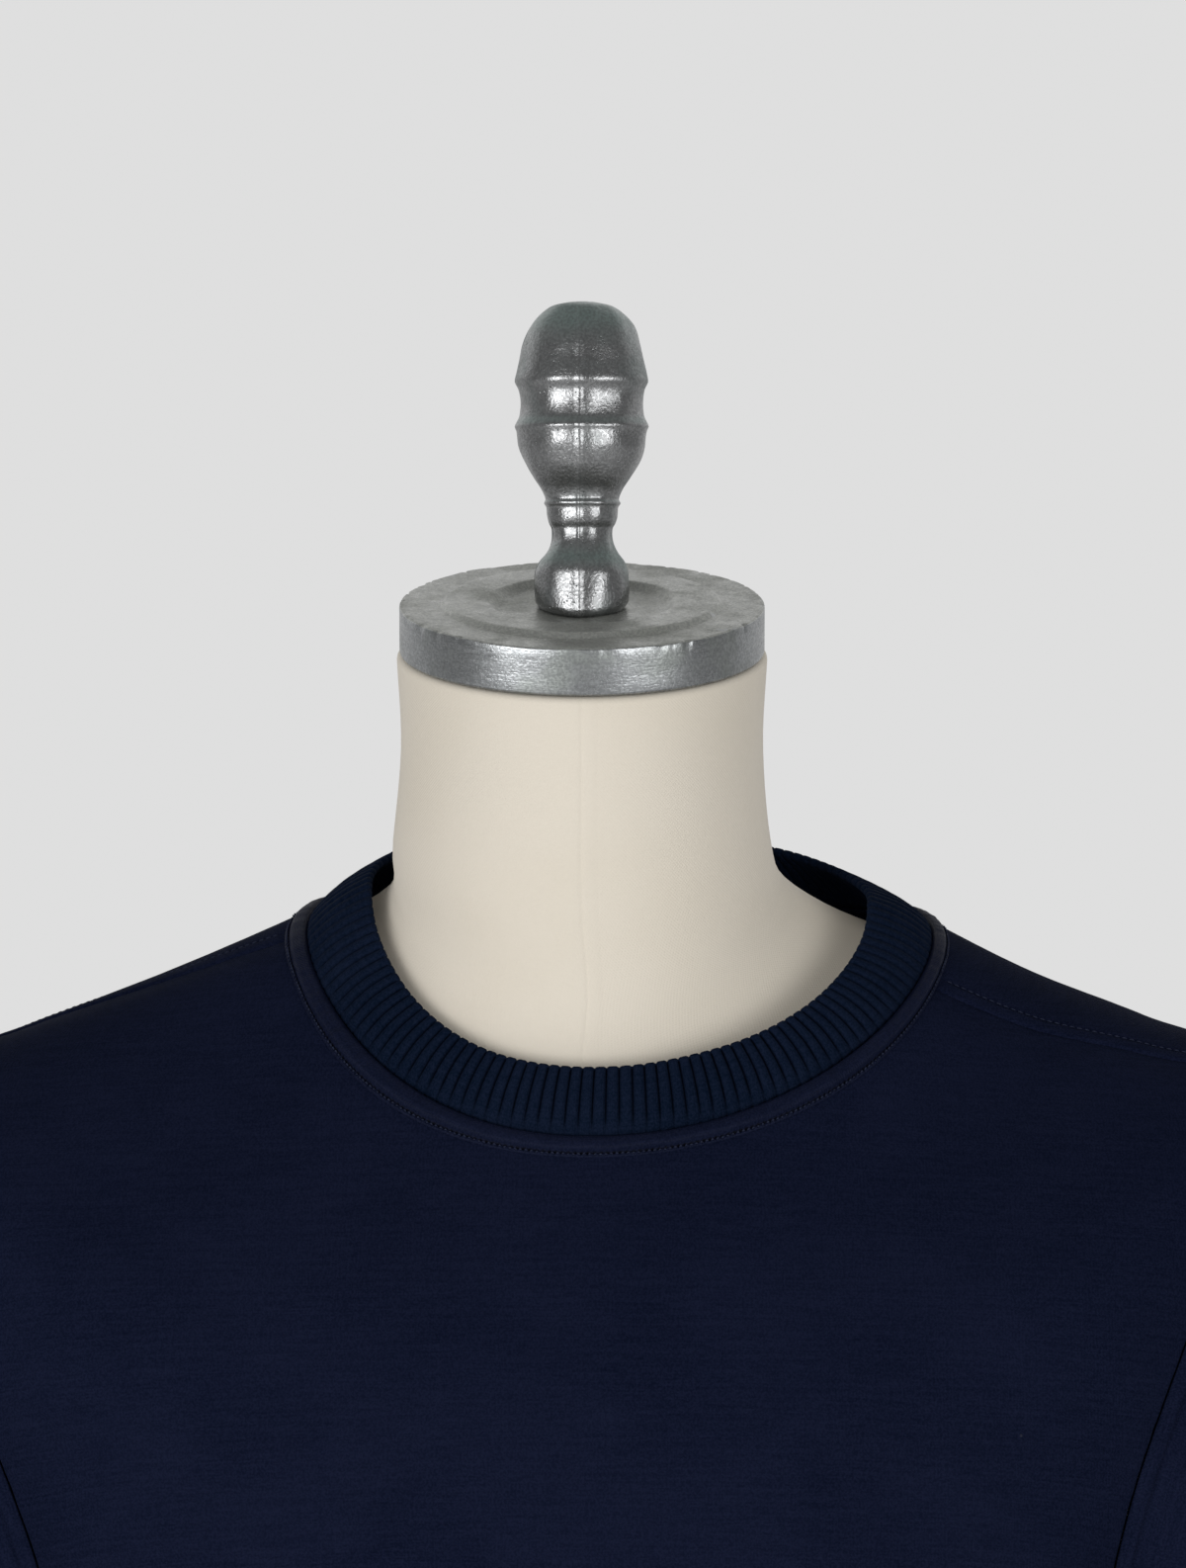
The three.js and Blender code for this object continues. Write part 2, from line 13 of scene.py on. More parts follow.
import bpy
import numpy as np
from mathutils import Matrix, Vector


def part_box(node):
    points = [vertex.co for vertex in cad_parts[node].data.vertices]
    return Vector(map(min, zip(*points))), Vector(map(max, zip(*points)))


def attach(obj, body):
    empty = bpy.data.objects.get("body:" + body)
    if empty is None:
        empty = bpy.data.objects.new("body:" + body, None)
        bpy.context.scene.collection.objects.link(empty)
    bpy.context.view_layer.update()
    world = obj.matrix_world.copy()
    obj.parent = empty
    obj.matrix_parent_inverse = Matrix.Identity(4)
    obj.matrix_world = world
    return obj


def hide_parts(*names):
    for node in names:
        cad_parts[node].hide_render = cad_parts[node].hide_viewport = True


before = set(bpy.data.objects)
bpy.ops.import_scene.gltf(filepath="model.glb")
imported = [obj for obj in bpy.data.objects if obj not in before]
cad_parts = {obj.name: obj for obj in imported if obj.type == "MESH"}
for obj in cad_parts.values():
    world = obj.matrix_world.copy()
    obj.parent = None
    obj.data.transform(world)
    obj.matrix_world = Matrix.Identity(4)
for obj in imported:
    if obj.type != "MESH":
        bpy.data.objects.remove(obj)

log = logging.getLogger("sweater")

MM = 0.001
HEM_DEPTH = 690.0  # from the shoulder line down to the hem's fold

SHOULDER_SLOPE = math.radians(21)
SHOULDER_START = 92.0
CAP_TILT = math.radians(15)
CLOTH = 2.0
GAP = 0.3

SLEEVE_FOLDS_FROM = -235  # height where the empty sleeve starts to fold
ELBOW_HEIGHT = -455
BUNCH_HEIGHT = -596  # where the cloth gathers above the cuff
CUFF_SEAM = -628

Array = np.ndarray


# ---------------------------------------------------------------- rings and surfaces
@dataclass(frozen=True)
class Ring:
    """One ring of a soft shape.

    Attributes:
        half: Half width.
        mid: Y of the widest points.
        front: Y of the front point.
        back: Y of the back point.
        side: Height of the widest points.
        front_z: Height of the front point, the side's if left out.
        back_z: Height of the back point, the side's if left out.
        shift: Sideways shift.
        roll: How far it leans to one side.
        twist: How far its front corners turn up and down.
        round: Softness of the ridge it crosses.
        square: 2 for an ellipse, more for fuller corners.
    """

    half: float
    mid: float
    front: float
    back: float
    side: float
    front_z: float | None = None
    back_z: float | None = None
    shift: float = 0.0
    roll: float = 0.0
    twist: float = 0.0
    round: float = 0.6
    square: float = 2.0

    def points(self, angle: Array) -> Array:
        """Places on the ring.

        Args:
            angle: Angles in radians; 0 is +X and a quarter turn back is the front.

        Returns:
            Points, with one more axis than the angles.
        """
        c, s = np.cos(angle), np.sin(angle)
        front_z = self.side if self.front_z is None else self.front_z
        back_z = self.side if self.back_z is None else self.back_z
        power = 2 / self.square
        reach = np.where(s < 0, self.mid - self.front, self.back - self.mid)
        ridge = (front_z + back_z - 2 * self.side) / (math.hypot(1, self.round) - self.round)
        lean = self.roll * c - self.twist * np.sin(2 * angle) * (1 - s) / 2
        height = self.side + lean + (back_z - front_z) / 2 * s
        return np.stack(
            [
                self.shift + self.half * np.sign(c) * np.abs(c) ** power,
                self.mid + reach * np.sign(s) * np.abs(s) ** power,
                height + ridge / 2 * (np.hypot(s, self.round) - self.round),
            ],
            axis=-1,
        )

    def mirrored(self, sign: int) -> "Ring":
        """The same ring on the other side when sign is -1."""
        return Ring(**{**self.__dict__, "shift": sign * self.shift})


def hermite(start: Array, end: Array, leave: Array, arrive: Array, u: Array) -> Array:
    """A cubic between two sets of points with the slopes given there.

    Args:
        start: First points.
        end: Last points.
        leave: Slopes at the start.
        arrive: Slopes at the end.
        u: Shares of the way, broadcast over the points.

    Returns:
        The points between.
    """
    u2, u3 = u * u, u * u * u
    return (
        start * (2 * u3 - 3 * u2 + 1) + leave * (u3 - 2 * u2 + u)
        + end * (3 * u2 - 2 * u3) + arrive * (u3 - u2)
    )


def unit(vectors: Array) -> Array:
    """The vectors at length one."""
    return vectors / np.maximum(np.linalg.norm(vectors, axis=-1, keepdims=True), 1e-9)


def smooth_step(x: Array) -> Array:
    """0 below zero, 1 above one, and an easy curve between."""
    t = np.clip(x, 0, 1)
    return t * t * (3 - 2 * t)


def mix(a: Array, b: Array, share: Array) -> Array:
    """The value a share of the way from a to b."""
    return a + (b - a) * share


class RingSurface:
    """A smooth surface through a stack of rings; run is the distance travelled down it."""

    def __init__(self, rings: Sequence[Ring]) -> None:
        """Measures the runs between the rings.

        Args:
            rings: The rings, from the top down.
        """
        self.rings = list(rings)
        angles = np.arange(24) * math.pi / 12
        places = np.stack([ring.points(angles) for ring in self.rings])
        steps = np.linalg.norm(np.diff(places, axis=0), axis=-1).mean(axis=-1)
        self.runs = np.concatenate([[0.0], np.cumsum(steps)])

    @property
    def length(self) -> float:
        """The run of the last ring."""
        return float(self.runs[-1])

    def slopes(self, places: Array) -> Array:
        """The slope along run at each ring, from the places on every ring."""
        count = len(self.rings)
        low = np.maximum(np.arange(count) - 1, 0)
        high = np.minimum(np.arange(count) + 1, count - 1)
        span = (self.runs[high] - self.runs[low]).reshape(-1, *[1] * (places.ndim - 1))
        return (places[high] - places[low]) / span

    def point(self, angle: Array, run: Array) -> Array:
        """Points of the surface.

        Args:
            angle: Angles round it.
            run: Distances down it, of the same shape.

        Returns:
            Points, with one more axis.
        """
        angle, run = np.broadcast_arrays(np.asarray(angle, float), np.asarray(run, float))
        places = np.stack([ring.points(angle) for ring in self.rings])
        slopes = self.slopes(places)
        k = np.clip(np.searchsorted(self.runs, run, side="right") - 1, 0, len(self.rings) - 2)
        span = self.runs[k + 1] - self.runs[k]
        u = ((run - self.runs[k]) / span)[..., None]

        def pick(table: Array, which: Array) -> Array:
            """The row of each point's own ring."""
            return np.take_along_axis(table, which[None, ..., None], axis=0)[0]

        return hermite(
            pick(places, k), pick(places, k + 1),
            pick(slopes, k) * span[..., None], pick(slopes, k + 1) * span[..., None], u,
        )

    def normal(self, angle: Array, run: Array) -> Array:
        """Outward normals, from small steps each way."""
        turn, step = 0.01, 0.5
        across = self.point(angle + turn, run) - self.point(angle - turn, run)
        down = self.point(angle, np.minimum(run + step, self.length)) - self.point(angle, np.maximum(run - step, 0))
        return unit(np.cross(down, across))


def arc(points: Array) -> Array:
    """Distances travelled along each row of points, starting at zero."""
    steps = np.linalg.norm(np.diff(points, axis=-2), axis=-1)
    return np.concatenate([np.zeros(steps.shape[:-1] + (1,)), np.cumsum(steps, axis=-1)], axis=-1)


def even_angles(ring: Ring, count: int) -> Array:
    """Angles once round a ring at even distances along it.

    Args:
        ring: The ring.
        count: How many angles.

    Returns:
        The angles, starting at +X and turning to the front.
    """
    fine = -np.linspace(0, 2 * math.pi, 2049)
    travelled = arc(ring.points(fine))
    return np.interp(np.arange(count) / count * travelled[-1], travelled, fine)


def grid_normals(grid: Array, looped: bool) -> Array:
    """Normals of a grid of points, from its neighbours, pointing away from the middle of each row.

    Args:
        grid: Points in rows and columns.
        looped: Whether the columns go once round.

    Returns:
        One normal for each point.
    """
    down = np.gradient(grid, axis=0)
    if looped:
        across = np.roll(grid, -1, axis=1) - np.roll(grid, 1, axis=1)
    else:
        across = np.gradient(grid, axis=1)
    normals = unit(np.cross(down, across))
    away = grid - grid.mean(axis=1, keepdims=True)
    turn = np.sign((normals * away).sum(axis=-1).mean())
    return normals * turn


# ---------------------------------------------------------------- mesh making
@dataclass
class Sheet:
    """A grid of points that becomes a wall of cloth.

    Attributes:
        outer: Outside points in rows and columns.
        inner: Inside points, the same in number.
        looped: Whether the columns go once round.
        across: Distances round each row, for the cloth's own map.
        along: Distances down each column.
    """

    outer: Array
    inner: Array
    looped: bool
    across: Array
    along: Array


class MeshMaker:
    """Turns grids of points in millimetres into mesh objects in metres."""

    def __init__(self, shoulder: float) -> None:
        """Keeps the height of the shoulder line.

        Args:
            shoulder: Height above the floor in metres.
        """
        self.lift = np.array([0.0, 0.0, shoulder])

    def piece(self, name: str, vertices: Array, faces: Array, corner_map: Array | None = None) -> bpy.types.Object:
        """A smooth shaded object whose faces point outwards.

        Args:
            name: The piece's name.
            vertices: Points in millimetres.
            faces: Vertex numbers, four to a face.
            corner_map: Cloth map of every face corner in millimetres.

        Returns:
            The new object, riding on the root body.
        """
        points = vertices * MM + self.lift
        a, b, c, d = (points[faces[:, k]] for k in range(4))
        volume = (a * np.cross(b, c)).sum() + (a * np.cross(c, d)).sum()
        if volume < 0:
            faces = faces[:, ::-1]
            corner_map = None if corner_map is None else corner_map[:, ::-1]
        mesh = bpy.data.meshes.new(name)
        mesh.from_pydata(points.tolist(), [], faces.tolist())
        mesh.polygons.foreach_set("use_smooth", np.ones(len(mesh.polygons), bool))
        if corner_map is not None:
            layer = mesh.uv_layers.new(name="cloth_map")
            layer.data.foreach_set("uv", (corner_map * MM).astype(np.float32).ravel())
        mesh.update()
        obj = bpy.data.objects.new(name, mesh)
        bpy.context.scene.collection.objects.link(obj)
        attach(obj, "root")
        log.info("%s: %d faces", name, len(faces))
        return obj

    def torus(self, name: str, grid: Array, across: Array, along: Array) -> bpy.types.Object:
        """A piece whose grid closes on itself both ways, such as a folded rib.

        Args:
            name: The piece's name.
            grid: Points in rows round the section and columns round the piece.
            across: Map distances of the columns, with one more to close the round.
            along: Map distances of the rows, with one more to close the section.

        Returns:
            The new object.
        """
        rows, columns = grid.shape[:2]
        i, j = np.meshgrid(np.arange(rows), np.arange(columns), indexing="ij")
        corners = [(i, j), (i, j + 1), (i + 1, j + 1), (i + 1, j)]
        faces = np.stack([(a % rows) * columns + b % columns for a, b in corners], -1).reshape(-1, 4)
        places = np.stack([np.stack([across[b], along[a]], -1) for a, b in corners], -2).reshape(-1, 4, 2)
        return self.piece(name, grid.reshape(-1, 3), faces, places)

    def wall(self, name: str, sheet: Sheet) -> bpy.types.Object:
        """A closed wall between the outside and inside of a sheet.

        Args:
            name: The piece's name.
            sheet: The sheet.

        Returns:
            The new object.
        """
        rows, columns = sheet.outer.shape[:2]
        cells = columns if sheet.looped else columns - 1
        inside = rows * columns

        def patch(corners: list[tuple[Array, Array, bool]]) -> tuple[Array, Array]:
            """Faces and map places of a set of cells, each corner a row, a column and a layer."""
            numbers = [a * columns + b % columns + (inside if inner else 0) for a, b, inner in corners]
            places = [np.stack([sheet.across[a, b], sheet.along[a, b % columns]], -1) for a, b, _ in corners]
            return np.stack(numbers, -1).reshape(-1, 4), np.stack(places, -2).reshape(-1, 4, 2)

        i, j = np.meshgrid(np.arange(rows - 1), np.arange(cells), indexing="ij")
        patches = [
            patch([(i, j, False), (i, j + 1, False), (i + 1, j + 1, False), (i + 1, j, False)]),
            patch([(i, j, True), (i + 1, j, True), (i + 1, j + 1, True), (i, j + 1, True)]),
        ]
        edge = np.arange(cells)
        for row, flip in ((0, False), (rows - 1, True)):
            a = np.full(cells, row)
            corners = [(a, edge, False), (a, edge, True), (a, edge + 1, True), (a, edge + 1, False)]
            patches.append(patch(corners[::-1] if flip else corners))
        if not sheet.looped:
            edge = np.arange(rows - 1)
            for column, flip in ((0, True), (columns - 1, False)):
                b = np.full(rows - 1, column)
                corners = [(edge, b, False), (edge, b, True), (edge + 1, b, True), (edge + 1, b, False)]
                patches.append(patch(corners[::-1] if flip else corners))
        vertices = np.concatenate([sheet.outer.reshape(-1, 3), sheet.inner.reshape(-1, 3)])
        faces, places = (np.concatenate(part) for part in zip(*patches))
        return self.piece(name, vertices, faces, places)

    def closed_tube(self, name: str, grid: Array, across: Array, along: Array) -> bpy.types.Object:
        """A tube of points closed at both ends.

        Args:
            name: The piece's name.
            grid: Points in rows down the tube; the number of columns is even.
            across: Map distances of the points, with one more column to close the round.
            along: Map distances down the tube, of the same shape.

        Returns:
            The new object.
        """
        rows, columns = grid.shape[:2]
        vertices = np.concatenate([grid.reshape(-1, 3), grid[:1].mean(axis=1), grid[-1:].mean(axis=1)])
        i, j = np.meshgrid(np.arange(rows - 1), np.arange(columns), indexing="ij")
        corners = [(i, j), (i, j + 1), (i + 1, j + 1), (i + 1, j)]
        faces = [np.stack([a * columns + b % columns for a, b in corners], -1).reshape(-1, 4)]
        places = [np.stack([np.stack([across[a, b], along[a, b]], -1) for a, b in corners], -2).reshape(-1, 4, 2)]
        pairs = np.arange(0, columns, 2)
        for row, centre in ((0, rows * columns), (rows - 1, rows * columns + 1)):
            around = [row * columns + (pairs + k) % columns for k in range(3)]
            fan = np.stack([np.full(len(pairs), centre), *(around if row else around[::-1])], -1)
            faces.append(fan)
            places.append(vertices[fan][..., :2])
        return self.piece(name, vertices, np.concatenate(faces), np.concatenate(places))

    def turned(self, name: str, outline: Sequence[tuple[float, float]], segments: int,
               shape: Callable[[Array], Array]) -> bpy.types.Object:
        """A turned piece, closed at both ends.

        Args:
            name: The piece's name.
            outline: Radius and height from the bottom to the top, clear of the axis.
            segments: How many columns go round.
            shape: Moves the finished points to where they belong.

        Returns:
            The new object.
        """
        profile = np.array(outline, float)[::-1]
        angles = -np.arange(segments) / segments * 2 * math.pi
        radius, height = profile[:, :1], profile[:, 1:]
        level = np.broadcast_to(height, (len(profile), segments))
        grid = np.stack([radius * np.cos(angles), radius * np.sin(angles), level], -1)
        grid = shape(grid.reshape(-1, 3)).reshape(grid.shape)
        turn = np.arange(segments + 1) * 2 * math.pi / segments * profile[:, 0].max()
        across = np.broadcast_to(turn, (len(profile), segments + 1))
        along = np.broadcast_to(arc(profile)[:, None], across.shape)
        return self.closed_tube(name, grid, across, along)


@dataclass(frozen=True)
class StitchLine:
    """A row of stitches.

    Attributes:
        pitch: From one needle hole to the next.
        reach: Length of the thread that shows between two holes.
        radius: Half the thread's width.
        rise: How far its middle stands above the cloth.
    """

    pitch: float = 2.5
    reach: float = 1.9
    radius: float = 0.26
    rise: float = 0.12

    def build(self, maker: MeshMaker, name: str, places: Array, normals: Array, closed: bool) -> bpy.types.Object:
        """Lays one small arched thread for each stitch along a line on the cloth.

        Args:
            maker: Makes the mesh.
            name: The piece's name.
            places: Points of the line.
            normals: Normals of the cloth there.
            closed: Whether the line runs once round.

        Returns:
            The new object.
        """
        if closed:
            places = np.concatenate([places, places[:1]])
            normals = np.concatenate([normals, normals[:1]])
        travelled = arc(places)
        count = max(int(travelled[-1] / self.pitch), 1)
        centres = (np.arange(count) + 0.5) * travelled[-1] / count
        sections, sides = 5, 6
        along = np.linspace(-0.5, 0.5, sections) * self.reach
        at = centres[:, None] + along
        line = np.stack([np.interp(at, travelled, places[:, k]) for k in range(3)], -1)
        up = unit(np.stack([np.interp(at, travelled, normals[:, k]) for k in range(3)], -1))
        forward = unit(np.gradient(line, axis=1))
        sideways = np.cross(forward, up)
        swell = np.sqrt(np.maximum(1 - (2 * along / self.reach) ** 2, 0.0)) * 0.85 + 0.15
        lift = self.rise * (1 - (2 * along / self.reach) ** 2) - 0.05
        turn = np.arange(sides) / sides * 2 * math.pi
        ring = (
            sideways[:, :, None] * (np.cos(turn) * self.radius)[:, None] * swell[:, None, None]
            + up[:, :, None] * (np.sin(turn) * self.radius * 0.8)[:, None] * swell[:, None, None]
        )
        points = line[:, :, None] + up[:, :, None] * lift[:, None, None] + ring
        step = sections * sides
        i, j = np.meshgrid(np.arange(sections - 1), np.arange(sides), indexing="ij")
        corners = [(i, j), (i, (j + 1) % sides), (i + 1, (j + 1) % sides), (i + 1, j)]
        one = np.stack([a * sides + b for a, b in corners], -1).reshape(-1, 4)
        last = (sections - 1) * sides
        ends = np.array([[0, 3, 2, 1], [0, 5, 4, 3], [last, last + 1, last + 2, last + 3],
                         [last, last + 3, last + 4, last + 5]])
        one = np.concatenate([one, ends])
        faces = (one[None] + np.arange(count)[:, None, None] * step).reshape(-1, 4)
        return maker.piece(name, points.reshape(-1, 3), faces)


class Ripples:
    """Smooth seeded unevenness made of a few sine waves."""

    def __init__(self, seed: int, shortest: float, longest: float, count: int = 10) -> None:
        """Draws the waves.

        Args:
            seed: Seed of the draw.
            shortest: Shortest wave.
            longest: Longest wave.
            count: How many waves.
        """
        rng = np.random.default_rng(seed)
        lengths = shortest * (longest / shortest) ** rng.random(count)
        ways = rng.random(count) * 2 * math.pi
        self.waves = np.stack([np.cos(ways), np.sin(ways)], -1) * (2 * math.pi / lengths)[:, None]
        self.phases = rng.random(count) * 2 * math.pi
        self.strength = np.sqrt(2 / count)

    def at(self, a: Array, b: Array) -> Array:
        """The unevenness at map places a, b; about one at its strongest."""
        a, b = np.broadcast_arrays(np.asarray(a, float), np.asarray(b, float))
        waves = np.sin(a[..., None] * self.waves[:, 0] + b[..., None] * self.waves[:, 1] + self.phases)
        return waves.sum(axis=-1) * self.strength / 1.6


def groove(distance: Array, depth: float, width: float) -> Array:
    """A narrow dip along a seam or a line of stitches."""
    return -depth * np.exp(-((distance / width) ** 2))


def band(distance: Array, start: float, end: float, height: float, ease: float = 0.8) -> Array:
    """A low raised band between two distances from a seam."""
    return height * smooth_step((distance - start) / ease) * smooth_step((end - distance) / ease)


# ---------------------------------------------------------------- the body of the sweater
@dataclass(frozen=True)
class Side:
    """How the seams lie on one side, in degrees forward (negative) of the shoulder ridge.

    Attributes:
        name: left or right.
        sign: 1 on the left, -1 on the right.
        neck: Shoulder seam at the neck.
        tip: Shoulder seam at the shoulder tip.
        under: Side seam from the underarm down.
        scoop: How far the armhole reaches forward of its middle.
    """

    name: str
    sign: int
    neck: float
    tip: float
    under: float
    scoop: float


LEFT = Side("left", 1, -19.5, -7, -8, 33)
RIGHT = Side("right", -1, -1, 8.5, -4, 40)
SIDES = (LEFT, RIGHT)


class Face(Enum):
    """The two body panels."""

    FRONT = -1
    BACK = 1


def shoulder_line(x: float) -> float:
    """Height of the cloth's outside along the straight shoulder line, at x from the middle."""
    return 1.5 - math.tan(SHOULDER_SLOPE) * (abs(x) - SHOULDER_START)


@dataclass
class SweaterBody:
    """The front and back of the sweater, neck seam to hem seam.

    Attributes:
        rings: The outside of the body, neck to hem.
        tip_ring: Number of the ring through the shoulder tip.
        under_ring: Number of the ring through the underarm point.
        armhole_reach: Degrees that an armhole reaches back of its middle.
        seam_bend: Below 1, the shoulder seams swing most beside the neck.
        strip_width: Width of the neck strip.
        columns: Columns of each panel between its edges.
        chest_depth: From the middle of the body to the chest.
        stations: Distances of the columns nearest to a panel's edge.
    """

    rings: tuple[Ring, ...] = (
        Ring(104.3, 7, -68, 75, -5.9, -70.7, 3, 12.4, -0.8, 4.1, 0.6, 2.1),
        Ring(146, 9, -86, 94, shoulder_line(146) - 3.9, -100, -24, 6, 0.1, 1.5, 0.35, 2.1),
        Ring(188, 9, -99.5, 108, shoulder_line(188) - 2.5, -128, -62, roll=2, round=0.5, square=2.15),
        Ring(224, 8, -109, 117, shoulder_line(224) - 3.5, -156, -102, roll=1.5, round=0.65, square=2.2),
        Ring(233, 7, -115, 121, -93, -184, -146, roll=1, round=0.75, square=2.25),
        Ring(224, 4, -119, 121, -156, -218, -196, round=0.75, square=2.3),
        Ring(204, 2, -120.5, 118, -225, -254, -244, square=2.35),
        Ring(189, 1, -120, 114, -284, -292, -289, square=2.35),
        Ring(185, 0, -114, 103, -400, square=2.35),
        Ring(187, 0, -113, 107, -520, square=2.35),
        Ring(190, 0, -118, 115, -612, square=2.35),
        Ring(187, 0, -117, 113, -632, square=2.35),
    )
    tip_ring: int = 3
    under_ring: int = 7
    armhole_reach: float = 26
    seam_bend: float = 0.8
    strip_width: float = 7
    columns: int = 104
    chest_depth: float = 115
    stations: tuple[float, ...] = (0, 0.5, 1.0, 1.7, 2.6, 3.8, 4.7, 5.3, 5.8, 6.3, 7.0, 8.4)
    stitch: StitchLine = StitchLine()
    surface: RingSurface = field(init=False)

    def __post_init__(self) -> None:
        """Builds the surface that everything on the body follows."""
        self.surface = RingSurface(self.rings)
        self.tip_run = self.surface.runs[self.tip_ring]
        self.under_run = self.surface.runs[self.under_ring]

    def armhole_run(self, turn: Array) -> Array:
        """How far down the body an armhole point lies; turn 0 is the tip and half a turn the underarm."""
        return mix(self.tip_run, self.under_run, (1 - np.cos(turn)) / 2)

    def seam_angle(self, side: Side, run: Array, turn: Array, face: Array) -> Array:
        """The angle on the body of a side's seam or armhole edge.

        Args:
            side: The side.
            run: Distance down the body.
            turn: How far round the armhole.
            face: -1 for the front edge, 1 for the back edge.

        Returns:
            The angle in radians.
        """
        shoulder = mix(side.neck, side.tip, np.clip(run / self.tip_run, 0, 1) ** self.seam_bend)
        centre = mix(shoulder, side.under, (1 - np.cos(turn)) / 2)
        reach = np.where(np.asarray(face) < 0, side.scoop, self.armhole_reach)
        forward = np.radians(centre + face * reach * np.sin(turn))
        return forward if side.sign > 0 else math.pi - forward

    def rows(self) -> tuple[Array, Array]:
        """The rows of a panel: run down the body, and how far round the armhole."""
        above = np.linspace(self.strip_width, self.tip_run, 38)[:-1]
        above = np.concatenate([np.linspace(0, self.strip_width, 5)[:-1], above])
        t = np.linspace(0, 1, 59)
        turn = math.pi * (t + 0.4 * np.sin(2 * math.pi * t) / (2 * math.pi))
        below = np.linspace(self.under_run, self.surface.length - 8, 84)[1:]
        hem = self.surface.length - np.array([6, 4.2, 2.8, 1.7, 0.9, 0.4, 0.15])
        runs = np.concatenate([above, self.armhole_run(turn), below, hem])
        turns = np.concatenate([np.zeros(len(above)), turn, np.full(len(below) + len(hem), math.pi)])
        return runs, turns

    def folds(self, points: Array, around: Array) -> Array:
        """Soft folds that the cloth hangs in below the chest, none above it.

        Args:
            points: Places on the body.
            around: Angles of these places.

        Returns:
            How far the cloth stands out from its plain shape.
        """
        height = points[..., 2]
        low = smooth_step((-300 - height) / 220)
        ease = smooth_step((height + 634) / 40) * 0.75 + 0.25
        drape = Ripples(11, 0.5, 1.5).at(around + height / 900, height / 420)
        cross = Ripples(12, 60, 170, 8).at(points[..., 0], height * 2.2 + np.abs(points[..., 0]) * 0.5)
        back_hollow = smooth_step((points[..., 1] - 20) / 60) * np.exp(-(((height + 430) / 90) ** 2))
        return low * ease * (2.6 * drape + 0.7 * cross) + back_hollow * 1.1 * cross

    def panel(self, maker: MeshMaker, face: Face) -> bpy.types.Object:
        """One body panel.

        Args:
            maker: Makes the mesh.
            face: Which panel.

        Returns:
            The new object.
        """
        runs, turns = self.rows()
        start = self.seam_angle(LEFT, runs, turns, face.value)
        end = self.seam_angle(RIGHT, runs, turns, face.value)
        if face is Face.FRONT:
            end = end - 2 * math.pi
        shares = np.linspace(0, 1, 481)
        fine = start[:, None] + (end - start)[:, None] * shares
        travelled = arc(self.surface.point(fine, np.broadcast_to(runs[:, None], fine.shape)))
        near = np.array(self.stations)
        angles, across = [], []
        for row_angles, row_travel in zip(fine, travelled):
            length = row_travel[-1]
            middle = np.linspace(near[-1], length - near[-1], self.columns)[1:-1]
            places = np.concatenate([near, middle, length - near[::-1]])
            angles.append(np.interp(np.clip(places, GAP / 2, length - GAP / 2), row_travel, row_angles))
            across.append(places)
        angle, across = np.array(angles), np.array(across)
        run = np.broadcast_to(runs[:, None], angle.shape)
        points, normals = self.surface.point(angle, run), self.surface.normal(angle, run)
        from_left, from_right = across, across[:, -1:] - across
        relief = self.folds(points, angle) + self.edge_relief(face, points, run, turns[:, None], from_left, from_right)
        outer = points + normals * relief[..., None]
        level = smooth_step((run - (self.surface.length - 12)) / 12)[..., None]
        flat = unit(np.concatenate([normals[..., :2], normals[..., 2:] * (1 - level)], -1))
        front = self.surface.point(np.full(runs.shape, face.value * math.pi / 2), runs)[:, None]
        aside = np.hypot(points[..., 0], points[..., 1] - front[..., 1]) * np.sign(points[..., 0])
        down = -points[..., 2] - 0.33 * (self.chest_depth - np.abs(points[..., 1]))
        sheet = Sheet(outer, outer - flat * CLOTH, False, aside, down)
        return maker.wall(f"{face.name.lower()}_panel", sheet)

    def edge_relief(self, face: Face, points: Array, run: Array, turn: Array, left: Array, right: Array) -> Array:
        """Seams and puckers along a panel's edges.

        Args:
            face: Which panel.
            points: Its points.
            run: Distance down the body.
            turn: How far round the armhole each row is.
            left: Distance from the left edge along the row.
            right: Distance from the right edge.

        Returns:
            How far each point stands out.
        """
        pucker = Ripples(21, 4, 9, 8)
        relief = groove(self.surface.length - run, 0.9, 1.6)
        edge_line = {True: points[:, 0], False: points[:, -1]}
        for is_left, distance in ((True, left), (False, right)):
            line = edge_line[is_left]
            along = unit(np.gradient(line, axis=0))
            row_way = unit(points[:, 8] - points[:, 0]) if is_left else unit(points[:, -9] - points[:, -1])
            slant = np.sqrt(np.maximum(1 - ((along * row_way).sum(-1)) ** 2, 0.02))[:, None]
            away = distance * slant
            travel = arc(line)[:, None]
            relief = relief + groove(away, 0.25, 0.9) + groove(away, 0.8, 8)
            relief = relief + 0.12 * pucker.at(travel, away) * np.exp(-((away / 6) ** 2))
            if face is Face.BACK:
                shoulder = smooth_step((turn < 1e-6) * 1.0) * smooth_step((run - 5) / 3)
                relief = relief + shoulder * (band(away, 0.3, 5.6, 0.5) + groove(away - 5.8, 0.35, 0.5))
        return relief

    def shoulder_stitches(self, maker: MeshMaker, side: Side) -> bpy.types.Object:
        """The topstitching behind a shoulder seam.

        Args:
            maker: Makes the mesh.
            side: The side.

        Returns:
            The new object.
        """
        run = np.linspace(self.strip_width + 0.5, self.tip_run - 0.5, 90)
        base = self.seam_angle(side, run, np.zeros_like(run), 1)
        step = 0.002 * side.sign
        per_turn = np.linalg.norm(self.surface.point(base + step, run) - self.surface.point(base, run), axis=-1)
        angle = base + step * 5.8 / per_turn
        normals = self.surface.normal(angle, run)
        places = self.surface.point(angle, run) - normals * 0.2
        return self.stitch.build(maker, f"shoulder_stitches_{side.name}", places, normals, False)

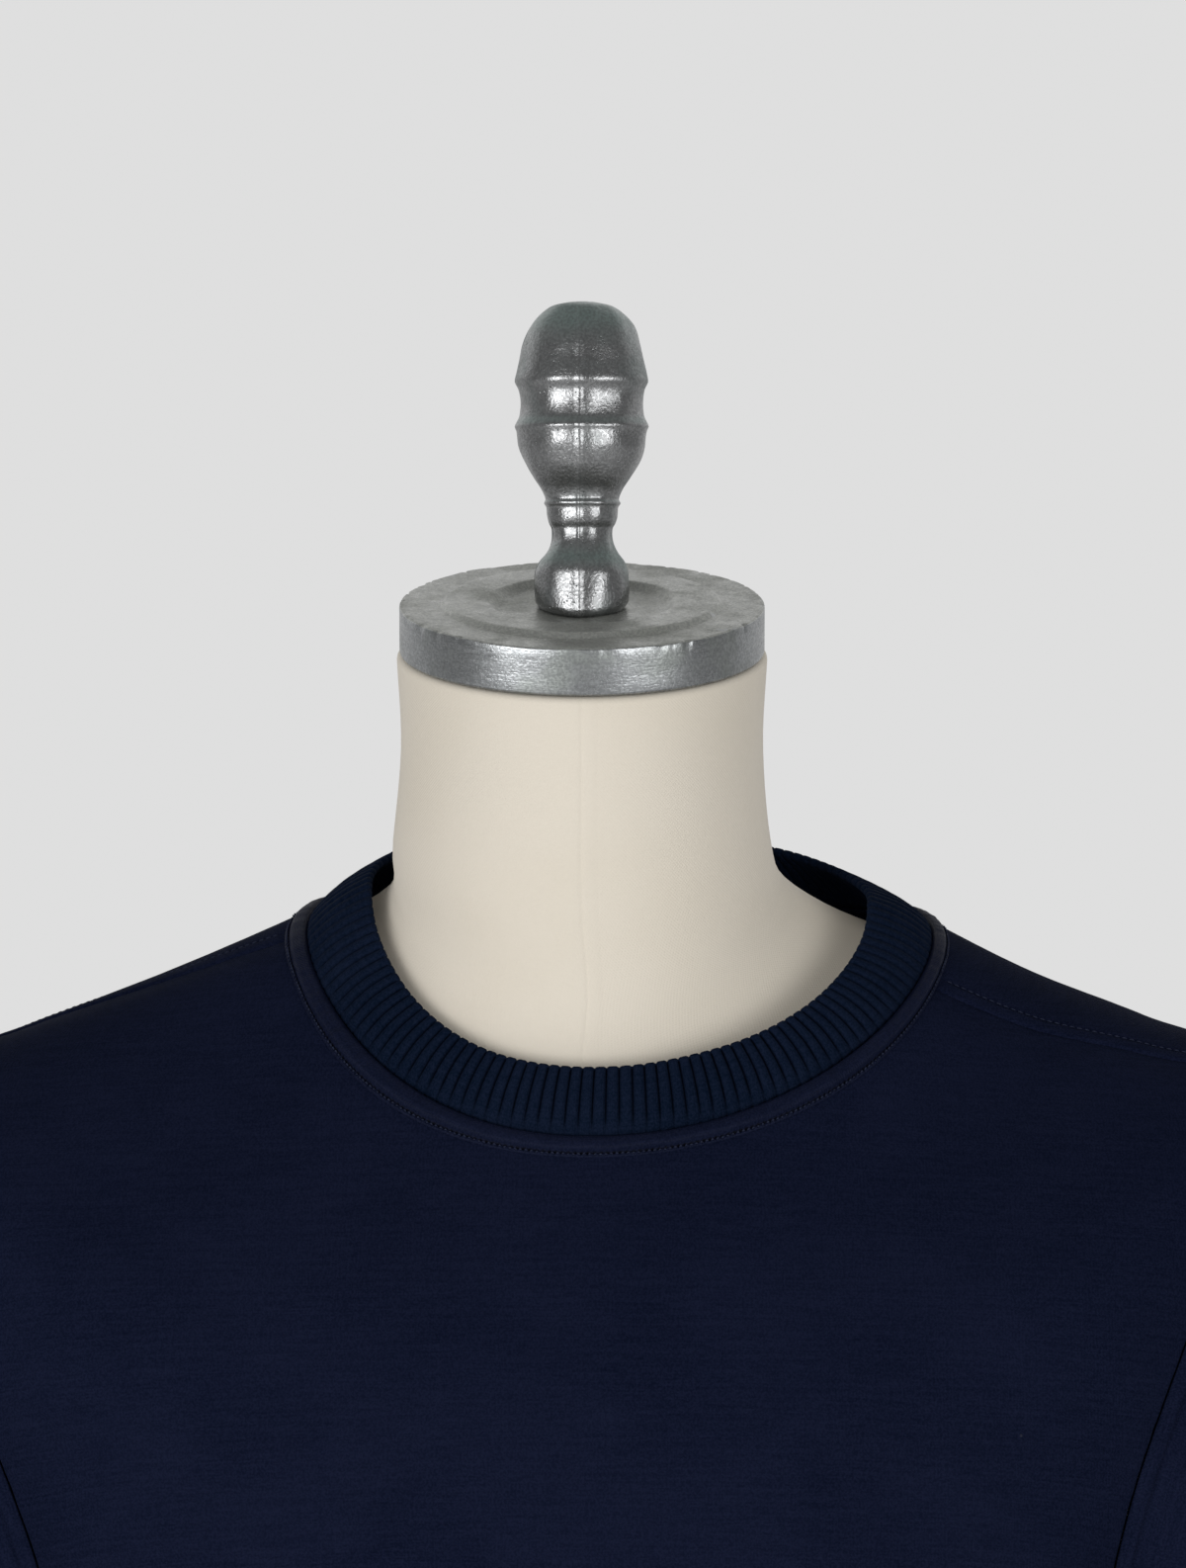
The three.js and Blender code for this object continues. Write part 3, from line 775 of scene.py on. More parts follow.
    def armhole_edge(self, side: Side, around: Array) -> tuple[Array, Array, Array]:
        """The armhole's edge once round from the shoulder tip by way of the front, moved out by the seam gap.

        Args:
            side: The side.
            around: Places round the armhole in radians.

        Returns:
            Points, normals, and the way in which the body's surface would go on across the hole.
        """
        face = np.where(around <= math.pi, -1.0, 1.0)
        turn = np.where(around <= math.pi, around, 2 * math.pi - around)
        run = self.armhole_run(turn)
        angle = self.seam_angle(side, run, turn, face)
        points, normals = self.surface.point(angle, run), self.surface.normal(angle, run)
        along = np.roll(points, -1, axis=0) - np.roll(points, 1, axis=0)
        onward = unit(np.cross(along, normals)) * -side.sign
        return points + onward * GAP, normals, onward


# ---------------------------------------------------------------- sleeves
@dataclass
class Sleeve:
    """A set-in sleeve that hangs empty from its armhole.

    Attributes:
        body: The body it is sewn into.
        side: Which side it is on.
        rings: The hanging tube of the left sleeve, top to bottom.
        columns: Columns round the sleeve.
        head_rows: Rows of the head below its seam.
        tube_rows: Rows of the hanging tube.
        band_width: From the armhole seam to its topstitching.
    """

    body: SweaterBody
    side: Side
    rings: tuple[Ring, ...] = (
        Ring(35, -4, -84, 74, -325, shift=229),
        Ring(33, -6, -80, 67, -385, shift=230),
        Ring(29, -10, -77, 56, -440, shift=228),
        Ring(29, -13, -75, 49, -500, shift=231),
        Ring(25, -16, -70, 38, -560, shift=230),
        Ring(24, -18, -66, 30, -610, shift=230),
        Ring(21, -19, -61, 23, -628, shift=230),
    )
    columns: int = 150
    head_rows: int = 44
    tube_rows: int = 84
    band_width: float = 5.8
    stitch: StitchLine = StitchLine()

    def columns_around(self) -> Array:
        """Places round the sleeve, closer together beside its own seam at the underarm."""
        even = np.arange(self.columns) / self.columns * 2 * math.pi
        beside = math.pi + np.array([-0.028, -0.018, -0.011, -0.005, 0.005, 0.011, 0.018, 0.028])
        return np.sort(np.concatenate([even, beside]))

    def tube_angle(self, around: Array) -> Array:
        """The angle on a ring of the tube that goes with a place round the armhole."""
        return -around if self.side.sign > 0 else math.pi + around

    def head(self, around: Array, arm: RingSurface) -> tuple[Array, Array]:
        """The sleeve head, from the armhole seam to the top of the tube.

        Args:
            around: Places round the sleeve.
            arm: The hanging tube.

        Returns:
            Points in rows, and their distances from the seam.
        """
        points, _, onward = self.body.armhole_edge(self.side, around)
        angle = self.tube_angle(around)
        target = arm.point(angle, np.zeros_like(angle))
        places = np.stack([ring.points(angle) for ring in arm.rings])
        arrive = arm.slopes(places)[0]
        down = ((1 - np.cos(around)) / 2)[:, None]
        fall = np.concatenate(
            [self.side.sign * mix(0.9, 0.3, down), -0.25 * np.sin(around)[:, None], mix(-0.42, -0.95, down)], -1)
        reach = np.linalg.norm(target - points, axis=-1, keepdims=True)
        leave = unit(fall + onward) * reach * mix(0.75, 0.9, down)
        u = np.linspace(0, 1, 97)[:, None, None]
        curve = hermite(points, target, leave, arrive * reach, u)
        travelled = arc(np.swapaxes(curve, 0, 1))
        near = np.array([0, 0.4, 0.8, 1.3, 2.0, 3.0, 4.2, 4.9, 5.4, 5.8, 6.2, 6.8, 7.8, 9.5, 12.0])
        rows, distances = [], []
        for column, travel in zip(np.swapaxes(curve, 0, 1), travelled):
            rest = np.linspace(near[-1], travel[-1], self.head_rows + 1)[1:]
            at = np.concatenate([near, rest])
            rows.append(np.stack([np.interp(at, travel, column[:, k]) for k in range(3)], -1))
            distances.append(at)
        return np.swapaxes(np.array(rows), 0, 1), np.array(distances).T

    def relief(self, points: Array, seam: Array, around: Array) -> Array:
        """Seams, the topstitched band and the folds of an empty sleeve.

        Args:
            points: Places on the sleeve.
            seam: Distances from the armhole seam.
            around: Places round the sleeve.

        Returns:
            How far each point stands out.
        """
        pucker = Ripples(31 + self.side.sign, 4, 9, 8)
        relief = groove(seam, 0.25, 0.8) + groove(seam, 0.5, 5) + band(seam, 0.4, self.band_width, 0.3)
        relief = relief + groove(seam - self.band_width, 0.8, 0.8)
        relief = relief + 0.14 * pucker.at(around * 60, seam) * np.exp(-((seam / 9) ** 2))
        relief = relief + groove((around - math.pi) * 40, 0.7, 0.8)
        height = points[..., 2]
        low = smooth_step((SLEEVE_FOLDS_FROM - height) / 120)
        cuff = smooth_step((height - CUFF_SEAM) / 14)
        to_body = smooth_step(((around - math.pi) ** 2 - 0.5) / 1.8)
        drag = Ripples(41 + self.side.sign, 0.8, 2.2, 7).at(around + height / 160, height / 110)
        bunch = Ripples(51 + self.side.sign, 16, 34, 8).at(height * 1.3, around * 9)
        near_cuff = np.exp(-(((height - BUNCH_HEIGHT) / 38) ** 2))
        elbow = np.exp(-(((height - ELBOW_HEIGHT) / 50) ** 2))
        folds = 1.7 * drag + (1.3 * near_cuff + 0.7 * elbow) * bunch
        return relief + groove(height - CUFF_SEAM, 0.8, 1.4) + folds * low * (0.25 + 0.75 * to_body) * cuff

    def build(self, maker: MeshMaker) -> list[bpy.types.Object]:
        """Makes the sleeve and the topstitching of its armhole seam.

        Args:
            maker: Makes the meshes.

        Returns:
            The sleeve and the stitches.
        """
        around = self.columns_around()
        arm = RingSurface([ring.mirrored(self.side.sign) for ring in self.rings])
        head, seam = self.head(around, arm)
        runs = np.linspace(0, arm.length - 6, self.tube_rows)[1:]
        runs = np.concatenate([runs, arm.length - np.array([4.2, 2.8, 1.7, 0.8, 0.15])])
        angle = np.broadcast_to(self.tube_angle(around), (len(runs), len(around)))
        tube = arm.point(angle, np.broadcast_to(runs[:, None], angle.shape))
        points = np.concatenate([head, tube])
        distance = np.concatenate([seam, seam[-1] + runs[:, None]])
        normals = grid_normals(points, True)
        normals[-1, :, 2] = 0
        normals = unit(normals)
        relief = self.relief(points, distance, np.broadcast_to(around, distance.shape))
        outer = points + normals * relief[..., None]
        closing = np.concatenate([points, points[:, :1]], axis=1)
        across = arc(closing)
        across = across - across[:, -1:] / 2
        sheet = Sheet(outer, outer - normals * CLOTH, True, across, distance)
        sleeve = maker.wall(f"sleeve_{self.side.name}_cloth", sheet)
        row = 9
        threads = self.stitch.build(
            maker, f"armhole_stitches_{self.side.name}", outer[row], grid_normals(outer, True)[row], True)
        return [sleeve, threads]


# ---------------------------------------------------------------- ribs and neck strip
@dataclass
class RibBand:
    """A strip of rib folded lengthways and sewn on in a ring: a seam edge, a folded edge and real wales.

    Attributes:
        name: The piece's name.
        outside: Gives outside points from angles and shares of the way from seam to fold.
        seam_ring: Ring that the wales are spaced along.
        wales: How many wales go round.
        depth: How deep the grooves between the wales are.
        thick: Thickness of the folded rib.
        seam_depth: Share of the grooves' depth that is left at the seam.
        steps: Even steps to a wale, of which some carry a column.
        columns: The steps that carry one, closer together beside the grooves.
    """

    name: str
    outside: Callable[[Array, Array], Array]
    seam_ring: Ring
    wales: int
    depth: float = 1.45
    thick: float = 2.8
    seam_depth: float = 0.35
    steps: int = 40
    columns: tuple[int, ...] = (1, 4, 8, 19, 31, 35, 38)

    def build(self, maker: MeshMaker) -> bpy.types.Object:
        """Makes the rib.

        Args:
            maker: Makes the mesh.

        Returns:
            The new object.
        """
        even = even_angles(self.seam_ring, self.wales * self.steps)
        column = np.array(self.columns)
        angle = even[(np.arange(self.wales)[:, None] * self.steps + column).ravel()]
        place = (column + 0.5) / self.steps
        profile = np.exp(-(((np.abs(place - 0.5) - 0.5) / 0.13) ** 2))
        wander = Ripples(61 + self.wales, 25, 140, 8)
        groove_depth = np.tile(profile, self.wales)
        half = self.thick / 2
        length = float(arc(self.outside(angle[:1], np.linspace(0, 1, 30)[:, None])[:, 0]).max())
        stop = 1 - half / length
        shares = np.concatenate([[0.012, 0.035, 0.07, 0.12], np.linspace(0.18, stop, 15)])
        outer = self.outside(angle, shares[:, None])
        normals = grid_normals(outer, True)
        centre = outer - normals * half
        fold = unit(outer[-1] - outer[-2])
        tuck = np.array([1.1, 0.55, 0.15, 0.0] + [0.0] * (len(shares) - 4))
        fade = self.seam_depth + (1 - self.seam_depth) * smooth_step((shares * length - 1.0) / 9)
        puff = 0.3 * np.sin(math.pi * shares)
        uneven = 0.18 * wander.at(angle * 100, shares[:, None] * length)

        def layer(sign: int) -> Array:
            """The outside or the inside face."""
            relief = -self.depth * fade[:, None] * groove_depth + puff[:, None] + uneven
            reach = half + (relief if sign > 0 else 0.4 * relief) - tuck[:, None]
            return centre + sign * normals * reach[..., None]

        turn = np.linspace(0, math.pi, 9)[1:-1]
        edge_relief = -0.45 * self.depth * fade[-1] * groove_depth + uneven[-1]
        rounds = []
        for t in turn:
            reach = half + edge_relief * (0.8 + 0.2 * math.cos(t))
            rounds.append(centre[-1] + (normals[-1] * math.cos(t) + fold * math.sin(t)) * reach[:, None])
        grid = np.concatenate([layer(1), np.array(rounds), layer(-1)[::-1]])
        across = arc(np.concatenate([outer[6], outer[6][:1]]))
        section = arc(np.concatenate([grid[:, 0], grid[:1, 0]]))
        return maker.torus(self.name, grid, across, section)


@dataclass
class NeckFinish:
    """The neck rib, the strip that covers its seam, and the strip's stitches.

    Attributes:
        body: The body they are sewn to.
        edge: The rib's folded edge.
        bow: How far the rib rounds out between its seam and its fold.
        wales: Wales of the neck rib.
        strip_height: How far the strip stands up in its middle.
        strip_spread: Share of its width that the strip has at the sides, and how much more it has in front.
        strip_sink: Share of its height that it has at the sides.
        columns: Columns of the strip.
    """

    body: SweaterBody
    edge: Ring = Ring(82.4, -1, -63, 67, 8.6, -47.2, 28.6, 12.3, -2.6, 4.5, 0.07, 2.2)
    bow: float = 1.6
    wales: int = 132
    strip_height: float = 2.5
    strip_spread: tuple[float, float] = (0.78, 0.42)
    strip_sink: float = 0.4
    columns: int = 1200
    stitch: StitchLine = StitchLine(pitch=2.1, reach=1.3, radius=0.36, rise=0.4)

    def rib_outside(self, angle: Array, share: Array) -> Array:
        """Outside points of the rib, from the neck seam (0) to its folded edge (1)."""
        angle, share = np.broadcast_arrays(angle, share)
        seam, edge = self.body.rings[0].points(angle), self.edge.points(angle)
        out = unit(np.stack([np.cos(angle), np.sin(angle), np.full(angle.shape, 0.8)], -1))
        return mix(seam, edge, share[..., None]) + out * (self.bow * np.sin(math.pi * share))[..., None]

    def strip(self, maker: MeshMaker) -> list[bpy.types.Object]:
        """The narrow rounded strip on the body just outside the neck seam, and its row of stitches.

        Args:
            maker: Makes the meshes.

        Returns:
            The strip and the stitches.
        """
        angle = even_angles(self.body.rings[0], self.columns)
        run = np.array([-0.9, -0.5, -0.1, 0.3, 0.8, 1.5, 2.3, 3.1, 3.9, 4.6, 5.1, 5.5, 6.0, 6.5, 6.95])
        surface = self.body.surface
        grid_angle = np.broadcast_to(angle, (len(run), len(angle)))
        least, more = self.strip_spread
        forward = smooth_step((-np.sin(angle) - 0.2) / 0.7)
        spread = least + more * forward
        grid_run = run[:, None] * np.where(run[:, None] > 0, spread, 1.0)
        points, normals = surface.point(grid_angle, grid_run), surface.normal(grid_angle, np.maximum(grid_run, 0))
        swell = np.maximum(1 - ((run - 3.4) / np.where(run < 3.4, 4.3, 2.0)) ** 2, 0) ** 0.5
        pucker = Ripples(71, 3.5, 8, 9).at(angle * 100, 0 * angle)
        stand = self.strip_height * mix(self.strip_sink, 1.0, smooth_step(np.abs(np.sin(angle)) / 0.6))
        edge = np.interp(run, [4.8, 5.4, 6.0, 6.5, 6.95], [0.4, 0.15, 0.85, 0.75, 0.25])
        height = edge[:, None] + stand * swell[:, None] * (1 + 0.06 * pucker)
        row = 12
        travel = arc(np.concatenate([points[row], points[row][:1]]))
        holes = np.cos(math.pi * int(travel[-1] / self.stitch.pitch) * travel[:-1] / travel[-1]) ** 4
        height = height - 0.7 * holes * np.exp(-(((run - run[row]) / 0.5) ** 2))[:, None]
        height = height + np.minimum(run, 0)[:, None] * 0.7
        top = points + normals * height[..., None]
        under = (points + normals * (0.05 + np.minimum(run, 0)[:, None] * 0.9)[..., None])[::-1][[0, 4, 9, 12, 14]]
        grid = np.concatenate([top, under])
        across = arc(np.concatenate([points[6], points[6][:1]]))
        section = arc(np.concatenate([grid[:, 0], grid[:1, 0]]))
        piece = maker.torus("neck_strip_tape", grid, across, section)
        threads = self.stitch.build(maker, "neck_strip_stitches", top[row], normals[row], True)
        return [piece, threads]

    def build(self, maker: MeshMaker) -> list[bpy.types.Object]:
        """Makes the rib, the strip and the stitches.

        Args:
            maker: Makes the meshes.

        Returns:
            The three pieces.
        """
        rib = RibBand("neck_rib_fold", self.rib_outside, self.body.rings[0], self.wales)
        return [rib.build(maker), *self.strip(maker)]


@dataclass
class HemAndCuffs:
    """The hem rib and both cuffs.

    Attributes:
        hem: Outside of the hem rib, seam to fold.
        cuff: Outside of the left cuff.
        hem_wales: Wales of the hem rib.
        cuff_wales: Wales of a cuff.
    """

    hem: tuple[Ring, ...] = (
        Ring(187, 0, -117, 113, -632, square=2.35),
        Ring(182, 0, -112, 108, -641, square=2.35),
        Ring(180, 0, -110, 107, -662, square=2.35),
        Ring(181, 0, -111, 108, -690, square=2.35),
    )
    cuff: tuple[Ring, ...] = (
        Ring(21, -19, -61, 23, -628, shift=230),
        Ring(19, -19, -56, 18, -636, shift=230),
        Ring(19, -20, -57, 17, -690, shift=230),
    )
    hem_wales: int = 262
    cuff_wales: int = 56

    def build(self, maker: MeshMaker) -> list[bpy.types.Object]:
        """Makes the three ribs.

        Args:
            maker: Makes the meshes.

        Returns:
            Hem rib, left cuff, right cuff.
        """
        pieces = []
        tubes = [("hem_rib_fold", self.hem, self.hem_wales)]
        for side in SIDES:
            rings = tuple(ring.mirrored(side.sign) for ring in self.cuff)
            tubes.append((f"cuff_{side.name}_fold", rings, self.cuff_wales))
        for name, rings, wales in tubes:
            surface = RingSurface(rings)

            def outside(angle: Array, share: Array, surface: RingSurface = surface) -> Array:
                """Outside points from the seam (0) to the fold (1)."""
                return surface.point(*np.broadcast_arrays(angle, share * surface.length))

            pieces.append(RibBand(name, outside, rings[1], wales).build(maker))
        return pieces


# ---------------------------------------------------------------- the form, its cap and its stand
@dataclass
class DressForm:
    """The limbless form: neck, shoulders and torso under one fitted cotton cover.

    Attributes:
        rings: Its outside from the neck's cut to its underside.
        columns: Columns round it.
        rows: Rows down it.
        seam_band: Half the width of the seam allowances that show through beside a seam.
        corner: Radius of the corners at its top and bottom.
    """

    rings: tuple[Ring, ...] = (
        Ring(61, -12, -70.9, 46.9, 86.8, 71, 102.6, round=1),
        Ring(59.6, -8, -66, 50, 56, 42, 68, round=0.8),
        Ring(62.5, -4, -58, 54, 23, 4, 38),
        Ring(65.8, 3, -53, 59, 8, -25, 24, 2, 1, round=0.4, square=1.9),
        Ring(85.5, 8, -53, 66, -4.4, -48, 9, roll=2.2, round=0.25, square=1.9),
        Ring(110, 9, -61.5, 76, -13.2, -74, -7, roll=2.3, round=0.25, square=1.9),
        Ring(146, 9, -81, 90, -26.7, -99, -27.5, roll=2.3, round=0.35),
        Ring(184, 9, -94.5, 103, -40.6, -126, -63, roll=2, round=0.5, square=2.1),
        Ring(204, 8, -104, 112, -54, -156, -102, roll=1.7, round=0.65, square=2.2),
        Ring(207, 7, -110, 115.5, -95.2, -184, -146, roll=1.2, round=0.75, square=2.25),
        Ring(198, 4, -113.5, 115.5, -158, -218, -196, round=0.75, square=2.3),
        Ring(185, 2, -114.5, 111.5, -226, -254, -244, square=2.3),
        Ring(175, 1, -113, 106, -285, -292, -289, square=2.3),
        Ring(153, 0, -98, 84, -420, square=2.3),
        Ring(167, 0, -101, 95, -590, square=2.3),
        Ring(166, 0, -97, 96, -700, square=2.3),
        Ring(156, 0, -90, 90, -770, square=2.3),
    )
    columns: int = 144
    rows: int = 150
    seam_band: float = 5.0
    corner: float = 2.2

    def angles(self) -> Array:
        """Angles round the form, closer together at the centre front and centre back seams."""
        even = -np.arange(self.columns) / self.columns * 2 * math.pi
        fine = np.array([-0.1, -0.085, -0.07, -0.028, -0.016, -0.007, 0.007, 0.016, 0.028, 0.07, 0.085, 0.1])
        beside = [-math.pi / 2 + fine, -3 * math.pi / 2 + fine]
        return np.sort(np.concatenate([even, *beside]))[::-1]

    def build(self, maker: MeshMaker) -> bpy.types.Object:
        """Makes the covered form.

        Args:
            maker: Makes the mesh.

        Returns:
            The new object.
        """
        surface = RingSurface(self.rings)
        length = surface.length
        ends = np.array([0.0, 0.25, 0.7, 1.4, 2.2])
        runs = np.concatenate([ends, np.linspace(ends[-1], length - ends[-1], self.rows)[1:-1], length - ends[::-1]])
        angle = np.broadcast_to(self.angles(), (len(runs), len(self.angles())))
        run = np.broadcast_to(runs[:, None], angle.shape)
        points, normals = surface.point(angle, run), surface.normal(angle, run)
        relief = np.zeros(angle.shape)
        for seam in (-math.pi / 2, -3 * math.pi / 2):
            line = surface.point(np.full(runs.shape, seam), runs)[:, None]
            away = np.linalg.norm(points - line, axis=-1)
            beside = smooth_step((self.seam_band - away) / 0.8)
            relief = relief + 0.16 * beside + groove(away, 0.3, 0.55)
        rim = np.minimum(run, length - run)
        inset = self.corner - np.sqrt(np.maximum(self.corner ** 2 - np.maximum(self.corner - rim, 0) ** 2, 0))
        outer = points + normals * (relief - inset)[..., None]
        across = arc(np.concatenate([points, points[:, :1]], axis=1))
        along = np.broadcast_to(runs[:, None], across.shape)
        return maker.closed_tube("form_cover", outer, across, along)


def rounded(outline: Sequence[tuple[float, float, float]], steps: int = 4) -> list[tuple[float, float]]:
    """An outline with its corners rounded.

    Args:
        outline: Radius and height of each corner, and how far from it the rounding starts.
        steps: Points on each rounded corner.

    Returns:
        Radius and height pairs.
    """
    result: list[tuple[float, float]] = []
    corners = np.array([(r, z) for r, z, _ in outline], float)
    for k, (r, z, reach) in enumerate(outline):
        if reach <= 0 or k in (0, len(outline) - 1):
            result.append((r, z))
            continue
        here = corners[k]
        before = here + unit(corners[k - 1] - here) * reach
        after = here + unit(corners[k + 1] - here) * reach
        for t in np.linspace(0, 1, steps):
            point = before * (1 - t) ** 2 + here * 2 * t * (1 - t) + after * t * t
            result.append((float(point[0]), float(point[1])))
    return result


@dataclass
class NeckCap:
    """The cast metal disc on the neck and the turned finial that stands on it.

    Attributes:
        radius: The disc's radius.
        thick: Its thickness at the rim.
        step: How far the ring on its top stands up.
        recess: How far its middle lies below the top.
        centre: Y and height of the middle of the neck's cut.
        profile: Radius and height of the finial above its foot.
        foot: Below this height the finial follows the slope of the cap.
    """

    radius: float = 60
    thick: float = 16
    step: float = 1.6
    recess: float = 1
    centre: tuple[float, float] = (-12, 86.8)
    profile: tuple[tuple[float, float], ...] = (
        (14.2, 0), (15.3, 1.6), (15.4, 11), (14.2, 14.3), (11.6, 17.7), (10.1, 21.4), (9.9, 25.4), (10.8, 27.2),
        (11.5, 29.4), (11.8, 32.6), (12.6, 33.8), (12, 35), (13.2, 38.1), (15.9, 42.2), (18.7, 47.1), (20.7, 52.2),
        (21.3, 56.4), (21.5, 57.6), (22, 58.9), (21.4, 60.3), (20.5, 62.3), (20.2, 67), (20.8, 71.1), (22, 73.6),
        (21.7, 75.9), (20.8, 79.6), (19.2, 86.4), (16.3, 92.9), (10.7, 98.1), (5, 99.7), (2, 100),
    )
    foot: float = 10

    def placed(self, points: Array, along: float) -> Array:
        """Tilts points with the neck's cut and lifts them along its axis."""
        c, s = math.cos(CAP_TILT), math.sin(CAP_TILT)
        y = points[..., 1] * c - points[..., 2] * s - along * s + self.centre[0]
        z = points[..., 1] * s + points[..., 2] * c + along * c + self.centre[1]
        return np.stack([points[..., 0], y, z], -1)

    def disc(self, maker: MeshMaker) -> bpy.types.Object:
        """The disc, its edges softened and a little nicked.

        Args:
            maker: Makes the mesh.

        Returns:
            The new object.
        """
        r, t = self.radius, self.thick
        outline = rounded([
            (2, 0, 0), (r - 0.6, 0, 0), (r, 0.7, 0.5), (r, t - 0.2, 0.5), (r - 0.9, t, 0.4),
            (46.4, t, 0.5), (44.6, t + self.step, 0.8), (31.2, t + self.step, 0.8), (27.5, t - self.recess, 1.4),
            (2, t - self.recess, 0),
        ])
        dense: list[tuple[float, float]] = []
        for (r0, z0), (r1, z1) in zip(outline, outline[1:]):
            parts = max(1, round(math.hypot(r1 - r0, z1 - z0) / 3))
            dense += [(r0 + (r1 - r0) * k / parts, z0 + (z1 - z0) * k / parts) for k in range(parts)]
        dense.append(outline[-1])
        nicks = Ripples(81, 2.2, 11, 14)
        waves = Ripples(82, 14, 60, 8)

        def shape(points: Array) -> Array:
            """Nicks the upper edge, waves the top and tilts the disc."""
            radius = np.hypot(points[:, 0], points[:, 1])
            turn = np.arctan2(points[:, 1], points[:, 0]) * self.radius
            at_rim = np.exp(-(((radius - self.radius) / 1.2) ** 2))
            at_edge = at_rim * np.exp(-(((points[:, 2] - self.thick) / 1.1) ** 2))
            bite = np.maximum(nicks.at(turn, 0 * turn) - 0.45, 0) * 0.9 * at_edge
            top = smooth_step((points[:, 2] - 6) / 6)
            shrink = (1 - bite / np.maximum(radius, 1))[:, None]
            moved = points * np.concatenate([shrink, shrink, np.ones_like(shrink)], -1)
            moved[:, 2] += (0.16 * waves.at(points[:, 0], points[:, 1]) - 0.5 * bite) * top
            return self.placed(moved, GAP)

        return maker.turned("neck_cap_disc", dense, 288, shape)

    def finial(self, maker: MeshMaker) -> bpy.types.Object:
        """The finial, upright, with the parting line of its mould down the front and back.

        Args:
            maker: Makes the mesh.

        Returns:
            The new object.
        """
        corners = np.array(self.profile, float)
        travelled = arc(corners)
        mid = (corners[2:] - corners[:-2]) / (travelled[2:] - travelled[:-2])[:, None]
        slopes = np.concatenate([mid[:1], mid, mid[-1:]])
        dense = []
        for k in range(len(corners) - 1):
            span = travelled[k + 1] - travelled[k]
            parts = max(2, round(span / 0.8))
            u = (np.arange(parts) / parts)[:, None]
            dense.append(hermite(corners[k], corners[k + 1], slopes[k] * span, slopes[k + 1] * span, u))
        outline = [tuple(p) for p in np.concatenate([*dense, corners[-1:]])]
        lumps = Ripples(91, 7, 26, 12)
        seat = self.thick - self.recess + 2 * GAP
        origin = self.placed(np.zeros((1, 3)), seat)[0]

        def shape(points: Array) -> Array:
            """Adds the parting line and casting lumps, slopes the foot and sets the finial on the cap."""
            radius = np.maximum(np.hypot(points[:, 0], points[:, 1]), 1e-6)
            turn = np.arctan2(points[:, 1], points[:, 0])
            ridge = 0.5 * np.exp(-(((points[:, 0] + 0.9) / 0.8) ** 2)) * smooth_step((radius - 4) / 4)
            uneven = 0.2 * lumps.at(turn * 16, points[:, 2]) * smooth_step(radius / 8)
            grow = (1 + (ridge + uneven) / radius)[:, None]
            moved = points * np.concatenate([grow, grow, np.ones_like(grow)], -1)
            share = np.maximum(1 - points[:, 2] / self.foot, 0)
            moved[:, 2] += share * math.tan(CAP_TILT) * moved[:, 1]
            return moved + origin

        return maker.turned("finial_casting", outline, 200, shape)

    def build(self, maker: MeshMaker) -> list[bpy.types.Object]:
        """Makes the disc and the finial."""
        return [self.disc(maker), self.finial(maker)]


@dataclass
class Stand:
    """The plain counter-top stand: a round iron base and a tube stem.

    Attributes:
        floor: Height of the floor, from the shoulder line.
        base_radius: Radius of the base.
        base_thick: Its thickness at the middle.
        stem_radius: Radius of the stem.
        form_bottom: Height of the form's underside above the floor.
    """

    floor: float
    base_radius: float = 150
    base_thick: float = 12
    stem_radius: float = 17
    form_bottom: float = 110

    def build(self, maker: MeshMaker) -> list[bpy.types.Object]:
        """Makes the base and the stem.

        Args:
            maker: Makes the meshes.

        Returns:
            The two pieces.
        """
        r, t = self.base_radius, self.base_thick
        base = rounded([
            (3, 0, 0), (r - 2, 0, 0), (r, 2, 0.8), (r, 6, 1.2), (r - 5, 9.5, 1.5), (40, t, 3), (3, t, 0),
        ], 5)
        low, high = t + GAP, self.form_bottom - GAP
        wide = self.stem_radius
        bevel = 0.6
        stem = rounded([
            (3, low, 0), (wide - bevel, low, 0), (wide, low + bevel, 0.3), (wide, high - bevel, 0.3),
            (wide - bevel, high, 0), (3, high, 0),
        ], 4)

        def shape(points: Array) -> Array:
            """Sets the points on the floor."""
            return points + np.array([0, 0, self.floor])

        return [maker.turned("stand_base_casting", base, 160, shape), maker.turned("stand_stem_tube", stem, 64, shape)]


